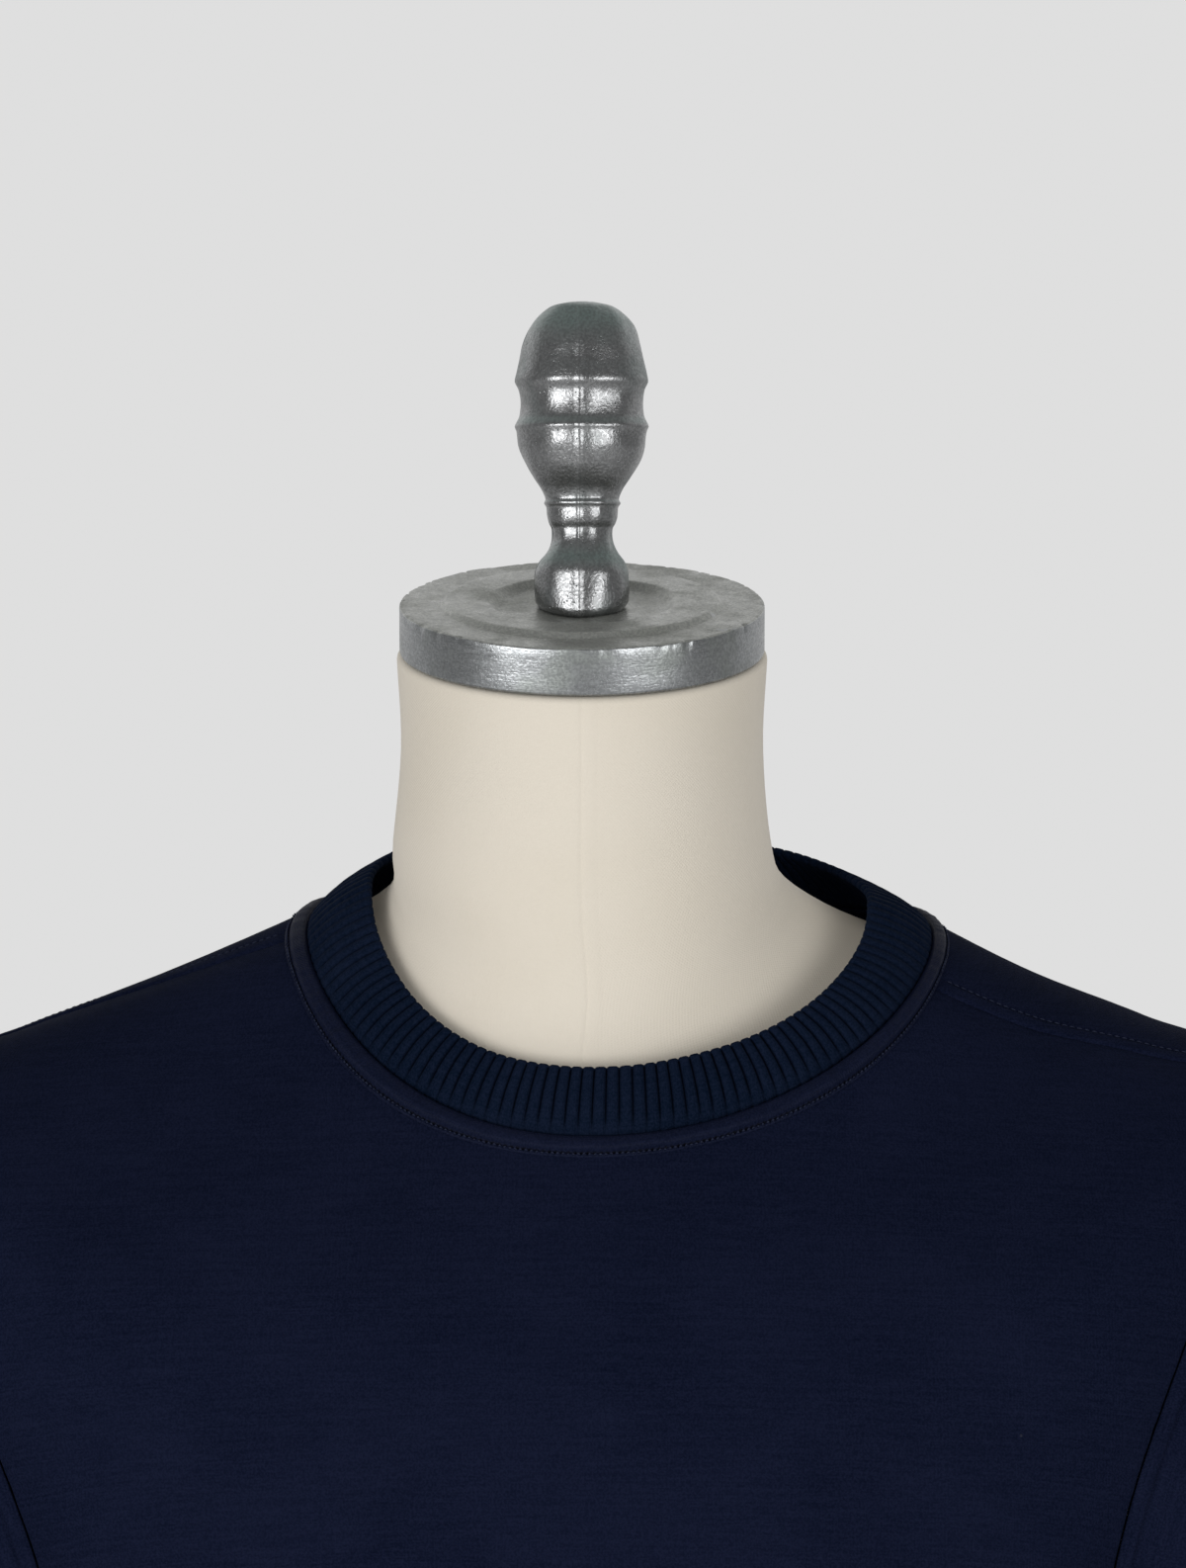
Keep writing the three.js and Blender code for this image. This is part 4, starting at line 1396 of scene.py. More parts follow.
# ---------------------------------------------------------------- node groups and finishes
class NodeDesk:
    """Adds and joins nodes in one tree."""

    def __init__(self, tree: bpy.types.NodeTree) -> None:
        """Keeps the tree."""
        self.tree = tree

    def add(self, kind: str, settings: dict[str, object] | None = None, **sockets: object) -> bpy.types.Node:
        """Adds a node.

        Args:
            kind: Blender's name of the node type.
            settings: Attributes of the node.
            sockets: Values or outputs for its inputs; spaces in names are written as underscores.

        Returns:
            The node.
        """
        node = self.tree.nodes.new(kind)
        for name, value in (settings or {}).items():
            setattr(node, name, value)
        for name, value in sockets.items():
            self.feed(node.inputs[name.replace("_", " ")], value)
        return node

    def feed(self, socket: bpy.types.NodeSocket, value: object) -> None:
        """Joins an output to an input, or sets the input's value."""
        if isinstance(value, bpy.types.NodeSocket):
            self.tree.links.new(value, socket)
        else:
            socket.default_value = value

    def math(self, operation: str, *values: object, clamp: bool = False) -> bpy.types.NodeSocket:
        """A math node's result."""
        node = self.add("ShaderNodeMath", {"operation": operation, "use_clamp": clamp})
        for socket, value in zip(node.inputs, values):
            self.feed(socket, value)
        return node.outputs[0]

    def plus(self, a: object, b: object, clamp: bool = False) -> bpy.types.NodeSocket:
        """a + b."""
        return self.math("ADD", a, b, clamp=clamp)

    def minus(self, a: object, b: object, clamp: bool = False) -> bpy.types.NodeSocket:
        """a - b."""
        return self.math("SUBTRACT", a, b, clamp=clamp)

    def times(self, a: object, b: object) -> bpy.types.NodeSocket:
        """a times b."""
        return self.math("MULTIPLY", a, b)

    def scaled(self, vector: bpy.types.NodeSocket, by: tuple[float, float, float]) -> bpy.types.NodeSocket:
        """A vector scaled along each axis."""
        node = self.add("ShaderNodeVectorMath", {"operation": "MULTIPLY"})
        self.feed(node.inputs[0], vector)
        node.inputs[1].default_value = by
        return node.outputs[0]

    def ramp(self, value: object, low: object, high: object) -> bpy.types.NodeSocket:
        """0 below low, 1 above high and a smooth step between."""
        node = self.add("ShaderNodeMapRange", {"interpolation_type": "SMOOTHSTEP"},
                        Value=value, From_Min=low, From_Max=high)
        return node.outputs["Result"]

    def mix(self, share: object, a: object, b: object) -> bpy.types.NodeSocket:
        """A colour a share of the way from a to b."""
        node = self.add("ShaderNodeMix", {"data_type": "RGBA"})
        self.feed(node.inputs[0], share)
        self.feed(node.inputs[6], a)
        self.feed(node.inputs[7], b)
        return node.outputs[2]

    def noise(self, vector: bpy.types.NodeSocket, scale: object, detail: float = 2.0) -> bpy.types.NodeSocket:
        """Fractal noise from 0 to 1."""
        return self.add("ShaderNodeTexNoise", Vector=vector, Scale=scale, Detail=detail).outputs[0]


@dataclass(frozen=True)
class Effect:
    """A shader node group that several finishes share.

    Attributes:
        name: The group's name.
        inputs: Name and default value of each input.
        outputs: Names of the outputs.
        fill: Builds the inside from a desk and the inputs, and returns the outputs.
    """

    name: str
    inputs: tuple[tuple[str, float], ...]
    outputs: tuple[str, ...]
    fill: Callable[[NodeDesk, dict[str, bpy.types.NodeSocket]], Sequence[bpy.types.NodeSocket]]

    def tree(self) -> bpy.types.NodeTree:
        """The group, built the first time it is asked for."""
        if self.name in bpy.data.node_groups:
            return bpy.data.node_groups[self.name]
        tree = bpy.data.node_groups.new(self.name, "ShaderNodeTree")
        for name, value in self.inputs:
            socket = tree.interface.new_socket(name=name, in_out="INPUT", socket_type="NodeSocketFloat")
            socket.default_value = value
        for name in self.outputs:
            tree.interface.new_socket(name=name, in_out="OUTPUT", socket_type="NodeSocketFloat")
        desk = NodeDesk(tree)
        entry = desk.add("NodeGroupInput")
        results = self.fill(desk, {name: entry.outputs[name] for name, _ in self.inputs})
        leave = desk.add("NodeGroupOutput")
        for name, result in zip(self.outputs, results):
            desk.feed(leave.inputs[name], result)
        return tree

    def place(self, desk: NodeDesk, **values: float) -> list[bpy.types.NodeSocket]:
        """Puts the group into a material with its own values.

        Args:
            desk: The material's desk.
            values: Input values; spaces in names are written as underscores.

        Returns:
            The group's outputs.
        """
        node = desk.add("ShaderNodeGroup", {"node_tree": self.tree()})
        for name, value in values.items():
            desk.feed(node.inputs[name.replace("_", " ")], value)
        return list(node.outputs)


def fill_knit(desk: NodeDesk, entry: dict[str, bpy.types.NodeSocket]) -> list[bpy.types.NodeSocket]:
    """Rows of V-shaped stitches on the cloth's own map."""
    place = desk.add("ShaderNodeUVMap", {"uv_map": "cloth_map"}).outputs[0]
    parts = desk.add("ShaderNodeSeparateXYZ", Vector=place)
    across = desk.math("DIVIDE", parts.outputs[0], entry["Wale"])
    along = desk.math("DIVIDE", parts.outputs[1], entry["Course"])
    leg = desk.math("PINGPONG", across, 0.5)
    slanted = desk.plus(along, desk.times(leg, 1.1))
    loops = desk.math("ABSOLUTE", desk.math("SINE", desk.times(slanted, math.pi)))
    legs = desk.math("ABSOLUTE", desk.math("SINE", desk.times(across, math.pi)))
    return [desk.times(desk.math("POWER", legs, 0.7), desk.plus(0.45, desk.times(loops, 0.55)))]


def fill_slubs(desk: NodeDesk, entry: dict[str, bpy.types.NodeSocket]) -> list[bpy.types.NodeSocket]:
    """Faint uneven yarns that run across the cloth."""
    place = desk.add("ShaderNodeUVMap", {"uv_map": "cloth_map"}).outputs[0]
    fine = desk.noise(desk.scaled(place, (75, 1500, 1)), entry["Scale"], 1.5)
    coarse = desk.noise(desk.scaled(place, (34, 620, 1)), entry["Scale"], 1.0)
    return [desk.plus(desk.times(fine, 0.55), desk.times(coarse, 0.45))]


def fill_grain(desk: NodeDesk, entry: dict[str, bpy.types.NodeSocket]) -> list[bpy.types.NodeSocket]:
    """Fine grain through the solid, with a broader unevenness."""
    place = desk.add("ShaderNodeTexCoord").outputs["Object"]
    return [desk.noise(place, entry["Fine"], 3.0), desk.noise(place, entry["Broad"], 2.0)]


def fill_lint(desk: NodeDesk, entry: dict[str, bpy.types.NodeSocket]) -> list[bpy.types.NodeSocket]:
    """Here and there a tiny speck of lint."""
    place = desk.add("ShaderNodeTexCoord").outputs["Object"]
    cells = desk.add("ShaderNodeTexVoronoi", Vector=place, Scale=entry["Cells"])
    rare = desk.add("ShaderNodeSeparateColor", Color=cells.outputs["Color"]).outputs[0]
    near = desk.ramp(cells.outputs["Distance"], entry["Size"], 0.0)
    return [desk.times(near, desk.ramp(rare, desk.minus(1.0, entry["Share"]), 1.0))]


def fill_tarnish_and_painted_light(desk: NodeDesk, entry: dict[str, bpy.types.NodeSocket]) -> list[bpy.types.NodeSocket]:
    """Patches where metal has dulled, pinholes, worn edges that also carry a painted highlight, faces that look up,
    which carry dust and painted light, and their hollows, which carry painted shade.
    """
    origin = desk.add("ShaderNodeTexCoord")
    place = origin.outputs["Object"]
    broad = desk.ramp(desk.noise(place, entry["Scale"], 4.0), 0.47, 0.66)
    holes = desk.add("ShaderNodeTexVoronoi", Vector=place, Scale=entry["Pinholes"])
    pits = desk.ramp(holes.outputs["Distance"], 0.22, 0.05)
    kept = desk.ramp(desk.noise(place, desk.times(entry["Pinholes"], 0.3), 1.0), 0.48, 0.62)
    pointed = desk.add("ShaderNodeNewGeometry").outputs["Pointiness"]
    upward = desk.ramp(desk.add("ShaderNodeSeparateXYZ", Vector=origin.outputs["Normal"]).outputs[2], 0.12, 0.75)
    # Painted shade: concave places on faces that look up, such as the grooves on the cap's top.
    hollow_shade_mask = desk.times(desk.ramp(pointed, 0.49, 0.44), upward)
    return [broad, desk.times(pits, kept), desk.ramp(pointed, 0.52, 0.58), upward, hollow_shade_mask]


def fill_brushing(desk: NodeDesk, entry: dict[str, bpy.types.NodeSocket]) -> list[bpy.types.NodeSocket]:
    """Fine lines that run level round the metal, following the tilt of the neck's cut."""
    place = desk.add("ShaderNodeTexCoord").outputs["Object"]
    turned = desk.add("ShaderNodeMapping", Vector=place)
    turned.inputs["Rotation"].default_value = (-CAP_TILT, 0, 0)
    fine = desk.noise(desk.scaled(turned.outputs[0], (260, 260, 2000)), entry["Scale"], 2.0)
    coarse = desk.noise(desk.scaled(turned.outputs[0], (60, 60, 700)), entry["Scale"], 1.0)
    return [desk.plus(desk.times(fine, 0.6), desk.times(coarse, 0.4))]


def fill_weave(desk: NodeDesk, entry: dict[str, bpy.types.NodeSocket]) -> list[bpy.types.NodeSocket]:
    """A plain weave on the cloth's own map."""
    place = desk.add("ShaderNodeUVMap", {"uv_map": "cloth_map"}).outputs[0]
    parts = desk.add("ShaderNodeSeparateXYZ", Vector=place)
    turns = [desk.times(desk.math("DIVIDE", parts.outputs[k], entry["Thread"]), math.pi) for k in (0, 1)]
    waves = [desk.math("SINE", turn) for turn in turns]
    return [desk.plus(0.5, desk.times(desk.times(*waves), 0.5))]


KNIT_LOOPS = Effect("knit_loops", (("Wale", 0.0011), ("Course", 0.0008)), ("Height",), fill_knit)
YARN_SLUBS = Effect("yarn_slubs", (("Scale", 1.0),), ("Mask",), fill_slubs)
GRAIN = Effect("fine_grain", (("Fine", 1800.0), ("Broad", 30.0)), ("Fine", "Broad"), fill_grain)
LINT = Effect("lint_specks", (("Cells", 45.0), ("Size", 0.03), ("Share", 0.3)), ("Mask",), fill_lint)
# Besides tarnish, the group gives the masks for painted light and shade: upward faces, their hollows, and the edges.
TARNISH_AND_PAINTED_LIGHT = Effect("tarnish", (("Scale", 40.0), ("Pinholes", 700.0)), ("Patches", "Pits", "Edges", "Upward", "Hollows"),
                 fill_tarnish_and_painted_light)
BRUSHING = Effect("brushing", (("Scale", 1.0),), ("Lines",), fill_brushing)
PLAIN_WEAVE = Effect("plain_weave", (("Thread", 0.0005),), ("Height",), fill_weave)

Colour = tuple[float, float, float]


def rgba(colour: Colour) -> tuple[float, float, float, float]:
    """The colour with full alpha."""
    return (*colour, 1.0)


class Material:
    """A material with one Principled shader and a desk for its nodes."""

    def __init__(self, name: str, colour: Colour, roughness: float, metallic: float = 0.0) -> None:
        """Makes the material.

        Args:
            name: Its name.
            colour: Plain colour that the export falls back on.
            roughness: Plain roughness.
            metallic: 0 or 1.
        """
        self.data = bpy.data.materials.new(name)
        self.data.use_nodes = True
        self.data.diffuse_color = rgba(colour)
        self.desk = NodeDesk(self.data.node_tree)
        self.shader = self.data.node_tree.nodes["Principled BSDF"]
        self.shader.inputs["Base Color"].default_value = rgba(colour)
        self.shader.inputs["Roughness"].default_value = roughness
        self.shader.inputs["Metallic"].default_value = metallic

    def set(self, **values: object) -> None:
        """Sets or joins sockets of the shader; spaces in names are written as underscores."""
        for name, value in values.items():
            self.desk.feed(self.shader.inputs[name.replace("_", " ")], value)

    def bump(self, height: bpy.types.NodeSocket, depth: float, strength: float = 1.0) -> None:
        """Feeds a height, 0 to 1, into the normal; depth is in metres."""
        node = self.desk.add("ShaderNodeBump", Strength=strength, Distance=depth, Height=height)
        self.set(Normal=node.outputs[0])


@dataclass(frozen=True)
class KnitFinish:
    """Navy knitted cloth: stitches, uneven yarn, a soft bloom, a few specks of lint, and painted shade in its creases.

    Attributes:
        name: The material's name.
        colour: The darker yarn.
        light: The lighter yarn.
        lint: Colour of the lint.
        wale: Width of a stitch.
        course: Height of a stitch.
        stitch_depth: How deep the stitches are.
        specks: Share of the places that have a speck of lint.
        sheen: How strong the bloom is.
        gloss: How much light it mirrors.
        rough: Its least roughness.
        shaded: How dark the painted shade in its creases is.
    """

    name: str
    colour: Colour
    light: Colour
    lint: Colour = (0.42, 0.43, 0.46)
    wale: float = 0.0011
    course: float = 0.0008
    stitch_depth: float = 0.00010
    specks: float = 0.3
    sheen: float = 0.008
    gloss: float = 0.02
    rough: float = 0.8
    shaded: float = 0.0

    def build(self) -> bpy.types.Material:
        """Makes the material."""
        made = Material(self.name, self.colour, 0.88)
        desk = made.desk
        loops, = KNIT_LOOPS.place(desk, Wale=self.wale, Course=self.course)
        slubs, = YARN_SLUBS.place(desk, Scale=1.0)
        fine, broad = GRAIN.place(desk, Fine=1500.0, Broad=22.0)
        specks, = LINT.place(desk, Cells=48.0, Size=0.036, Share=self.specks)
        tone = desk.plus(desk.times(desk.ramp(slubs, 0.36, 0.66), 0.32),
                         desk.times(desk.ramp(broad, 0.35, 0.65), 0.2))
        tone = desk.plus(tone, desk.times(desk.ramp(fine, 0.38, 0.62), 0.62), clamp=True)
        yarn = desk.mix(tone, rgba(self.colour), rgba(self.light))
        # Painted shade: concave creases, such as the rib's grooves and the strip's needle holes, are darkened in the
        # colour itself.
        creases = desk.ramp(desk.add("ShaderNodeNewGeometry").outputs["Pointiness"], 0.49, 0.43)
        deep = tuple(0.2 * part for part in self.colour)
        yarn = desk.mix(desk.times(creases, self.shaded), yarn, rgba(deep))
        made.set(Base_Color=desk.mix(specks, yarn, rgba(self.lint)))
        made.set(Roughness=desk.plus(self.rough, desk.times(fine, 0.16)))
        made.set(Sheen_Weight=self.sheen, Sheen_Roughness=0.45, Sheen_Tint=rgba((0.62, 0.78, 1.0)))
        made.set(Specular_IOR_Level=self.gloss)
        height = desk.plus(loops, desk.times(slubs, 1.1))
        height = desk.plus(height, desk.times(fine, 0.5))
        height = desk.plus(height, desk.times(specks, 1.5))
        made.bump(height, self.stitch_depth)
        return made.data


@dataclass(frozen=True)
class ThreadFinish:
    """Navy sewing thread, a little lighter and smoother than the knit.

    Attributes:
        name: The material's name.
        colour: The thread.
        light: Its lighter fibres.
    """

    name: str = "sewing_thread"
    colour: Colour = (0.0120, 0.0165, 0.036)
    light: Colour = (0.026, 0.032, 0.062)

    def build(self) -> bpy.types.Material:
        """Makes the material."""
        made = Material(self.name, self.colour, 0.85)
        fine, _ = GRAIN.place(made.desk, Fine=3400.0, Broad=80.0)
        made.set(Base_Color=made.desk.mix(made.desk.ramp(fine, 0.35, 0.65), rgba(self.colour), rgba(self.light)))
        made.set(Specular_IOR_Level=0.1)
        made.bump(fine, 0.00008)
        return made.data


@dataclass(frozen=True)
class CottonFinish:
    """Cream cotton stretched over the form.

    Attributes:
        name: The material's name.
        colour: The cotton.
        worn: Where it has yellowed a little.
        thread: Width of a thread.
    """

    name: str = "form_cotton"
    colour: Colour = (0.830, 0.765, 0.660)
    worn: Colour = (0.770, 0.700, 0.580)
    thread: float = 0.00055

    def build(self) -> bpy.types.Material:
        """Makes the material."""
        made = Material(self.name, self.colour, 0.9)
        desk = made.desk
        weave, = PLAIN_WEAVE.place(desk, Thread=self.thread)
        fine, broad = GRAIN.place(desk, Fine=1500.0, Broad=16.0)
        tone = desk.plus(desk.times(desk.ramp(broad, 0.42, 0.7), 0.5), desk.times(fine, 0.35))
        made.set(Base_Color=desk.mix(desk.times(tone, 0.7), rgba(self.colour), rgba(self.worn)))
        made.set(Roughness=desk.plus(0.82, desk.times(fine, 0.14)))
        made.set(Specular_IOR_Level=0.2, Sheen_Weight=0.22, Sheen_Roughness=0.5)
        height = desk.plus(desk.times(weave, 0.6), fine)
        made.bump(height, 0.00009)
        return made.data


@dataclass(frozen=True)
class MetalFinish:
    """Cast or brushed metal with dulled patches, brighter worn edges that also carry a painted highlight, and painted
    light and shade on the faces that look up and in their hollows.

    Attributes:
        name: The material's name.
        bright: The clean metal.
        dull: The tarnish.
        dulled: How much of the tarnish's colour the patches take.
        roughness: Roughness of the clean metal.
        lines: How much the fine lines show.
        cast_depth: Depth of the casting's unevenness.
        pits: How much the pinholes show.
        dust: Colour of the faces that look up: their dust, and the painted light and shade such faces catch.
        dusted: How much of the bare metal that colour hides there.
        speckle: How much the casting's fine speckle shows.
        patch_scale: Scale of the tarnish.
    """

    name: str
    bright: Colour
    dull: Colour
    dulled: float
    roughness: float
    lines: float
    cast_depth: float
    pits: float
    dust: Colour
    dusted: float
    speckle: float
    patch_scale: float = 45.0

    def build(self) -> bpy.types.Material:
        """Makes the material."""
        made = Material(self.name, self.bright, self.roughness, 1.0)
        desk = made.desk
        patches, pits, edges, upward, hollow_shade = TARNISH_AND_PAINTED_LIGHT.place(desk, Scale=self.patch_scale, Pinholes=620.0)
        lines, = BRUSHING.place(desk, Scale=1.0)
        fine, broad = GRAIN.place(desk, Fine=1150.0, Broad=150.0)
        grains = desk.ramp(fine, 0.36, 0.66)
        colour = desk.mix(desk.times(patches, self.dulled), rgba(self.bright), rgba(self.dull))
        # Faces that look up take a colour that is partly dust and partly painted light and shade: lighter on the cap's
        # top, darker on the finial's dome.
        colour = desk.mix(desk.times(upward, 0.75), colour, rgba(self.dust))
        # Painted shade, with some dust, in the hollows: darker than the dust colour.
        colour = desk.mix(desk.times(hollow_shade, 0.8), colour, rgba(tuple(0.45 * part for part in self.dust)))
        shade = desk.times(desk.minus(1.0, grains), self.speckle)
        colour = desk.mix(shade, colour, rgba(tuple(0.3 * part for part in self.bright)))
        pit_share = desk.times(pits, self.pits)
        colour = desk.mix(pit_share, colour, rgba(tuple(0.35 * part for part in self.dull)))
        # Convex edges turn brighter: worn metal, and partly a painted highlight along the edges.
        worn = tuple(min(1.0, 1.25 * part) for part in self.bright)
        colour = desk.mix(desk.times(edges, 0.6), colour, rgba(worn))
        made.set(Base_Color=colour)
        rough = desk.plus(self.roughness, desk.times(patches, 0.16))
        rough = desk.plus(rough, desk.times(desk.minus(lines, 0.5), self.lines * 0.5))
        rough = desk.plus(rough, desk.times(upward, 0.04))
        rough = desk.minus(rough, desk.times(grains, 0.12 * self.speckle), clamp=True)
        made.set(Roughness=rough, Metallic=desk.minus(1.0, desk.times(upward, self.dusted)))
        height = desk.plus(desk.times(broad, 1.4), desk.times(grains, 0.2))
        height = desk.minus(height, pit_share)
        height = desk.plus(height, desk.times(lines, self.lines))
        made.bump(height, self.cast_depth)
        return made.data


@dataclass(frozen=True)
class PaintFinish:
    """Satin paint on the stand's base, or the matt floor.

    Attributes:
        name: The material's name.
        colour: The paint.
        rubbed: Where it is rubbed thin.
        roughness: Its roughness.
        coat: Strength of the clear layer.
        glow: How much light it gives off by itself.
    """

    name: str
    colour: Colour
    rubbed: Colour
    roughness: float
    coat: float
    glow: float = 0.0

    def build(self) -> bpy.types.Material:
        """Makes the material."""
        made = Material(self.name, self.colour, self.roughness)
        desk = made.desk
        fine, broad = GRAIN.place(desk, Fine=1400.0, Broad=30.0)
        made.set(Base_Color=desk.mix(desk.ramp(broad, 0.45, 0.75), rgba(self.colour), rgba(self.rubbed)))
        made.set(Roughness=desk.plus(self.roughness, desk.times(desk.minus(fine, 0.5), 0.2)))
        made.set(Coat_Weight=self.coat, Coat_Roughness=0.35)
        made.set(Emission_Color=rgba((1.0, 1.0, 1.0)), Emission_Strength=self.glow)
        made.bump(fine, 0.00005)
        return made.data


@dataclass(frozen=True)
class Finishes:
    """Every finish of the part."""

    knit: KnitFinish = KnitFinish("navy_knit", (0.0033, 0.0055, 0.0170), (0.0091, 0.0124, 0.0328))
    # The rib and the strip darken their grooves and needle holes with painted shade.
    rib: KnitFinish = KnitFinish("navy_rib", (0.0020, 0.0060, 0.0165), (0.0076, 0.0130, 0.0312),
                                 wale=0.0009, course=0.0008, specks=0.12, shaded=0.8)
    tape: KnitFinish = KnitFinish("navy_strip", (0.0040, 0.0064, 0.0190), (0.0092, 0.0126, 0.0330),
                                  wale=0.0009, course=0.0008, specks=0.1, sheen=0.0, gloss=0.035, rough=0.36,
                                  shaded=0.9)
    thread: ThreadFinish = ThreadFinish()
    cotton: CottonFinish = CottonFinish()
    disc: MetalFinish = MetalFinish("cap_metal", (0.425, 0.44, 0.45), (0.28, 0.31, 0.27), 0.45, 0.31, 0.9, 0.00010,
                                    0.35, (0.47, 0.48, 0.43), 0.6, 0.4)
    finial: MetalFinish = MetalFinish("finial_metal", (0.375, 0.38, 0.385), (0.20, 0.25, 0.24), 0.5, 0.31, 0.0,
                                      0.00017, 0.8, (0.19, 0.27, 0.25), 0.5, 0.45)
    stem: MetalFinish = MetalFinish("stem_metal", (0.55, 0.55, 0.55), (0.4, 0.4, 0.39), 0.3, 0.34, 0.9, 0.00006,
                                    0.0, (0.5, 0.5, 0.48), 0.0, 0.1)
    paint: PaintFinish = PaintFinish("stand_paint", (0.040, 0.041, 0.044), (0.055, 0.056, 0.06), 0.45, 0.15)


# ---------------------------------------------------------------- camera, lights and floor
@dataclass(frozen=True)
class Studio:
    """Plain soft light, a pale floor and the camera.

    Attributes:
        distance: From the camera to the point it looks at.
        elevation: How far it looks down, in degrees.
        target: What it looks at.
        width: Width of the picture at the target.
        sensor: Width of the sensor in millimetres.
        backdrop: Brightness of the backdrop.
        ambient: Strength of the light from all round.
        behind: How much stronger it is from the backdrop behind the object.
        box_angle: How far to each side the soft lights stand, in degrees.
        box_distance: How far away they stand.
        box_height: Height of their middles.
        box_size: Their width and height.
        box_power: Their power in watts, left and right.
        floor_radius: Radius of the floor.
        floor_glow: Light that the floor gives off, so that it stays pale away from the boxes.
    """

    distance: float = 3.0
    elevation: float = 0.0
    target: tuple[float, float, float] = (0.0036, -0.012, 0.9235)
    width: float = 0.390
    sensor: float = 36.0
    backdrop: float = 0.737
    ambient: float = 0.19
    behind: float = 0.66
    box_angle: float = 38.0
    box_distance: float = 2.2
    box_height: float = 0.74
    box_size: tuple[float, float] = (1.4, 1.06)
    box_power: tuple[float, float] = (16.2, 23.6)
    floor_radius: float = 3.6
    floor_glow: float = 0.24

    def build(self) -> None:
        """Sets up the whole studio."""
        self.camera()
        self.world()
        for sign, power in zip((1, -1), self.box_power):
            self.softbox(sign, power)
        self.floor()
        bpy.context.scene.view_settings.view_transform = "Standard"

    def place(self, name: str, data: bpy.types.ID, where: Vector, at: Vector) -> bpy.types.Object:
        """Puts a light or camera somewhere, looking at a point."""
        obj = bpy.data.objects.new(name, data)
        obj.location = where
        obj.rotation_euler = (at - where).to_track_quat("-Z", "Y").to_euler()
        bpy.context.scene.collection.objects.link(obj)
        return obj

    def camera(self) -> None:
        """The camera."""
        data = bpy.data.cameras.new("camera")
        data.sensor_fit = "HORIZONTAL"
        data.sensor_width = self.sensor
        data.lens = self.sensor * self.distance / self.width
        data.clip_end = 100
        target, lift = Vector(self.target), math.radians(self.elevation)
        where = target + Vector((0, -math.cos(lift), math.sin(lift))) * self.distance
        bpy.context.scene.camera = self.place("camera", data, where, target)

    def world(self) -> None:
        """A plain backdrop for the camera, and for the object a dim room with the lit backdrop behind it."""
        world = bpy.data.worlds.new("studio")
        world.use_nodes = True
        bpy.context.scene.world = world
        world.node_tree.nodes.clear()
        desk = NodeDesk(world.node_tree)
        way = desk.add("ShaderNodeSeparateXYZ", Vector=desk.add("ShaderNodeTexCoord").outputs["Generated"])
        behind = desk.ramp(way.outputs[1], -0.25, 0.9)
        level = desk.plus(0.55, desk.times(desk.ramp(way.outputs[2], 0.02, 0.3), 0.45))
        level = desk.minus(level, desk.times(desk.ramp(way.outputs[2], 0.5, 0.9), 0.7))
        glow = desk.times(desk.times(behind, level), self.behind)
        glow = desk.plus(self.ambient, glow)
        lit = desk.add("ShaderNodeBackground", Color=rgba((1.0, 1.0, 1.0)), Strength=glow).outputs[0]
        tone = self.backdrop
        plain = desk.add("ShaderNodeBackground", Color=rgba((tone, tone, tone)), Strength=1.0).outputs[0]
        both = desk.add("ShaderNodeMixShader")
        seen = desk.add("ShaderNodeLightPath").outputs["Is Camera Ray"]
        for socket, value in zip(both.inputs, (seen, lit, plain)):
            desk.feed(socket, value)
        desk.add("ShaderNodeOutputWorld", Surface=both.outputs[0])

    def softbox(self, sign: int, power: float) -> None:
        """A large soft light to one side of the camera."""
        data = bpy.data.lights.new(f"softbox_{'left' if sign > 0 else 'right'}", "AREA")
        data.shape = "RECTANGLE"
        data.size, data.size_y = self.box_size
        data.energy = power
        turn = math.radians(self.box_angle) * sign
        at = Vector((0, -0.05, self.box_height))
        where = at + Vector((math.sin(turn), -math.cos(turn), 0)) * self.box_distance
        self.place(data.name, data, where, at)

    def floor(self) -> None:
        """A round pale floor."""
        turns = np.arange(96) / 96 * 2 * math.pi
        corners = [(self.floor_radius * math.cos(t), self.floor_radius * math.sin(t), 0.0) for t in turns]
        mesh = bpy.data.meshes.new("floor")
        mesh.from_pydata(corners, [], [list(range(96))])
        obj = bpy.data.objects.new("floor", mesh)
        bpy.context.scene.collection.objects.link(obj)
        finish = PaintFinish("floor_matt", (0.34, 0.34, 0.34), (0.36, 0.36, 0.36), 0.85, 0.0, self.floor_glow)
        mesh.materials.append(finish.build())


# ---------------------------------------------------------------- putting it together
@dataclass(frozen=True)
class Declared:
    """What a finished piece stands for, and the cloth it was cut from.

    Attributes:
        piece: Name of the finished piece.
        node: The CAD node it replaces.
        slot: The record's material slot; not used.
        finish: Which of the finishes it has.
        flat: Width and length of the cut that shows, for cloth; not used.
        area: Flat area of the cut where it is no rectangle; not used.
        held: How the cloth is held; not used.
        rests_on: What it lies on or hangs from; not used.
        threads: Pieces of sewing thread that go with it.
        thread: Finish of that thread.
    """

    piece: str
    node: str
    slot: str
    finish: str
    flat: tuple[float, float] | None = None
    area: float | None = None
    held: str = "draped"
    rests_on: tuple[str, ...] = ()
    threads: tuple[str, ...] = ()
    thread: str = "thread"


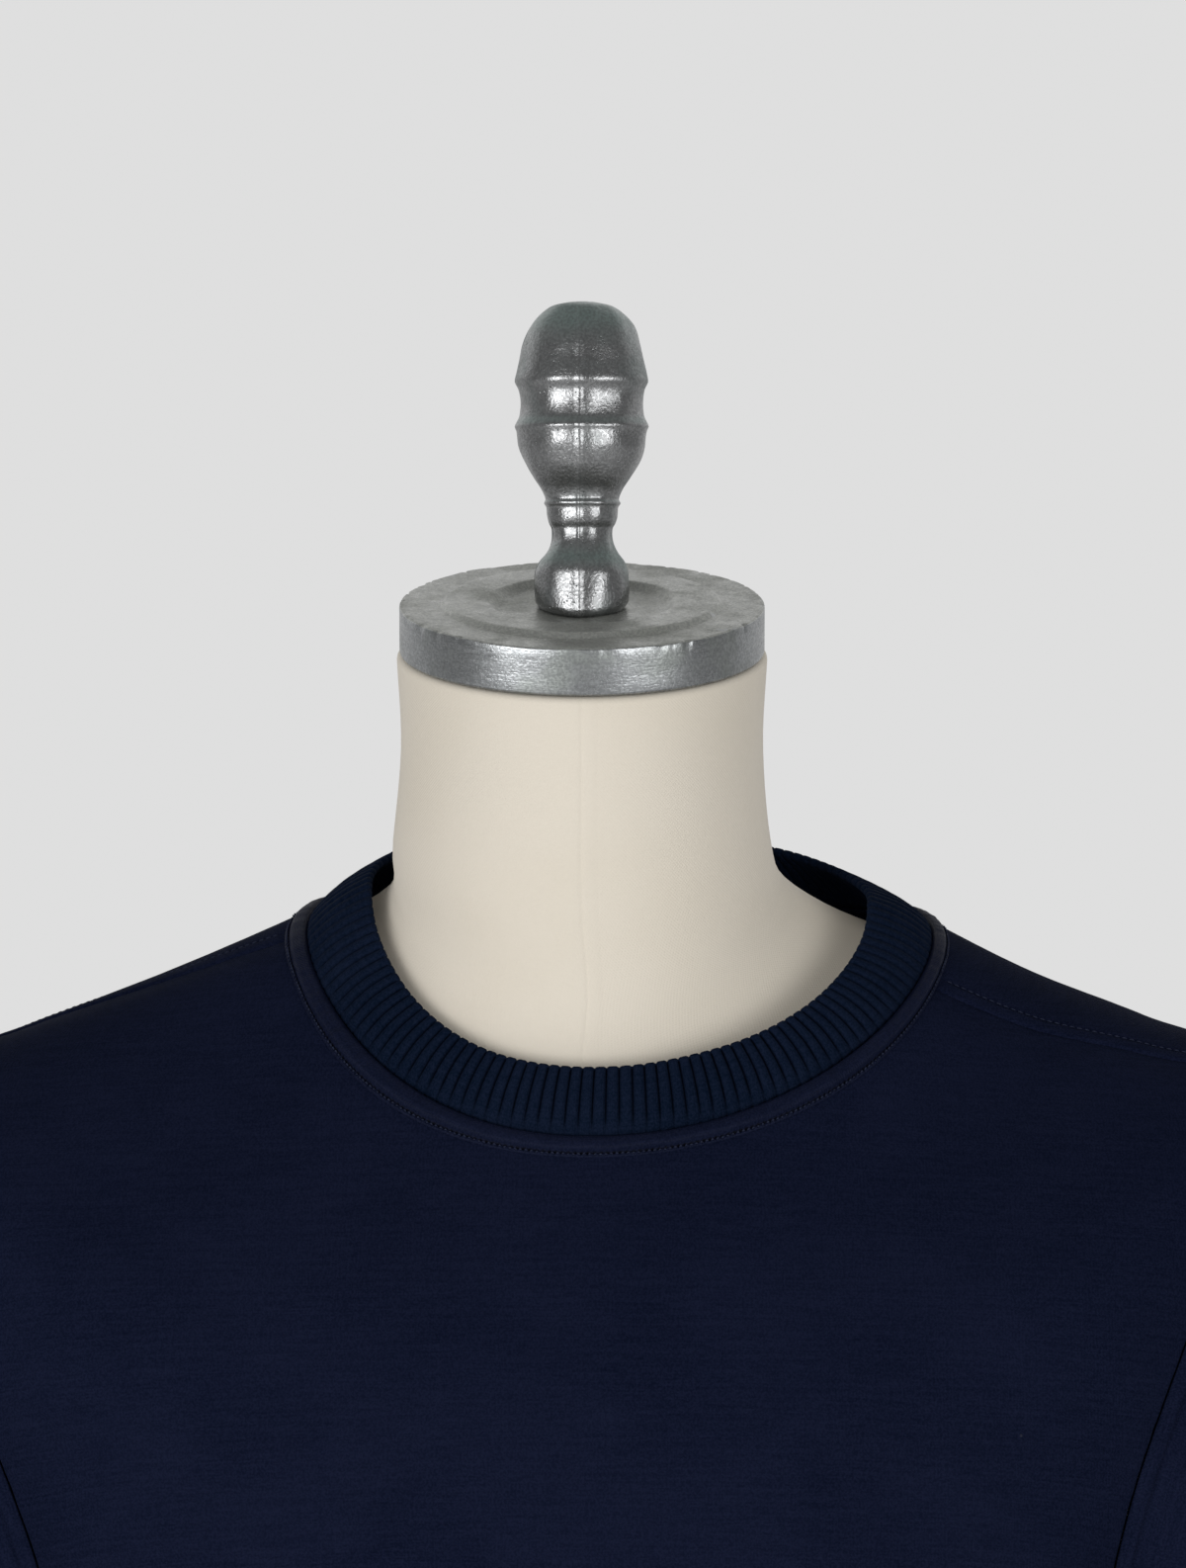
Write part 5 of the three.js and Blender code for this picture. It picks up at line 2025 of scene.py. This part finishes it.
PARTS_LIST = (
    Declared("front_panel", "front_body", "knit", "knit", (0.56, 0.71), 0.285, "draped", ("form_cover",)),
    Declared("back_panel", "back_body", "knit", "knit", (0.56, 0.71), 0.33, "draped", ("form_cover",),
             ("shoulder_stitches_left", "shoulder_stitches_right")),
    Declared("sleeve_left_cloth", "sleeve_left", "knit", "knit", (0.44, 0.47), 0.153, "hung",
             ("front_panel", "back_panel"), ("armhole_stitches_left",), "knit"),
    Declared("sleeve_right_cloth", "sleeve_right", "knit", "knit", (0.44, 0.47), 0.153, "hung",
             ("front_panel", "back_panel"), ("armhole_stitches_right",), "knit"),
    Declared("neck_rib_fold", "neck_rib", "rib", "rib", (0.56, 0.03), None, "draped", ("front_panel", "back_panel")),
    Declared("neck_strip_tape", "neck_strip", "knit", "tape", (0.58, 0.01), None, "draped",
             ("front_panel", "back_panel"), ("neck_strip_stitches",)),
    Declared("hem_rib_fold", "hem_rib", "rib", "rib", (0.95, 0.058), None, "hung", ("front_panel", "back_panel")),
    Declared("cuff_left_fold", "cuff_left", "rib", "rib", (0.17, 0.062), None, "hung", ("sleeve_left_cloth",)),
    Declared("cuff_right_fold", "cuff_right", "rib", "rib", (0.17, 0.062), None, "hung", ("sleeve_right_cloth",)),
    Declared("form_cover", "dress_form", "form_cloth", "cotton"),
    Declared("neck_cap_disc", "neck_cap", "cast_metal", "disc"),
    Declared("finial_casting", "finial", "cast_metal", "finial"),
    Declared("stand_base_casting", "stand_base", "stand_paint", "paint"),
    Declared("stand_stem_tube", "stand_stem", "stem_metal", "stem"),
)


class Sweater:
    """The whole part: garment, form and stand."""

    def __init__(self) -> None:
        """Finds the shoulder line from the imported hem."""
        self.shoulder = float(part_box("hem_rib")[0][2]) + HEM_DEPTH * MM
        self.pieces: dict[str, bpy.types.Object] = {}

    def build(self) -> None:
        """Makes every mesh."""
        maker = MeshMaker(self.shoulder)
        body = SweaterBody()
        made = [body.panel(maker, face) for face in Face]
        for side in SIDES:
            made.append(body.shoulder_stitches(maker, side))
            made += Sleeve(body, side).build(maker)
        made += NeckFinish(body).build(maker)
        made += HemAndCuffs().build(maker)
        made.append(DressForm().build(maker))
        made += NeckCap().build(maker)
        made += Stand(-self.shoulder / MM).build(maker)
        self.pieces = {obj.name: obj for obj in made}

    def dress(self) -> None:
        """Gives each piece its finish and says what it stands for."""
        finishes = Finishes()
        built = {name: getattr(finishes, name).build() for name in finishes.__dataclass_fields__}
        for part in PARTS_LIST:
            piece = self.pieces[part.piece]
            piece.data.materials.append(built[part.finish])
            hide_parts(part.node)
            for name in part.threads:
                self.pieces[name].data.materials.append(built[part.thread])
            log.info("%s stands for %s", part.piece, part.node)


def main() -> None:
    """Builds the part and its studio."""
    logging.basicConfig(level=logging.INFO, format="%(message)s")
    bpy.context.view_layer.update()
    sweater = Sweater()
    sweater.build()
    sweater.dress()
    Studio().build()
    bpy.context.view_layer.update()


if __name__ == "__main__":
    main()
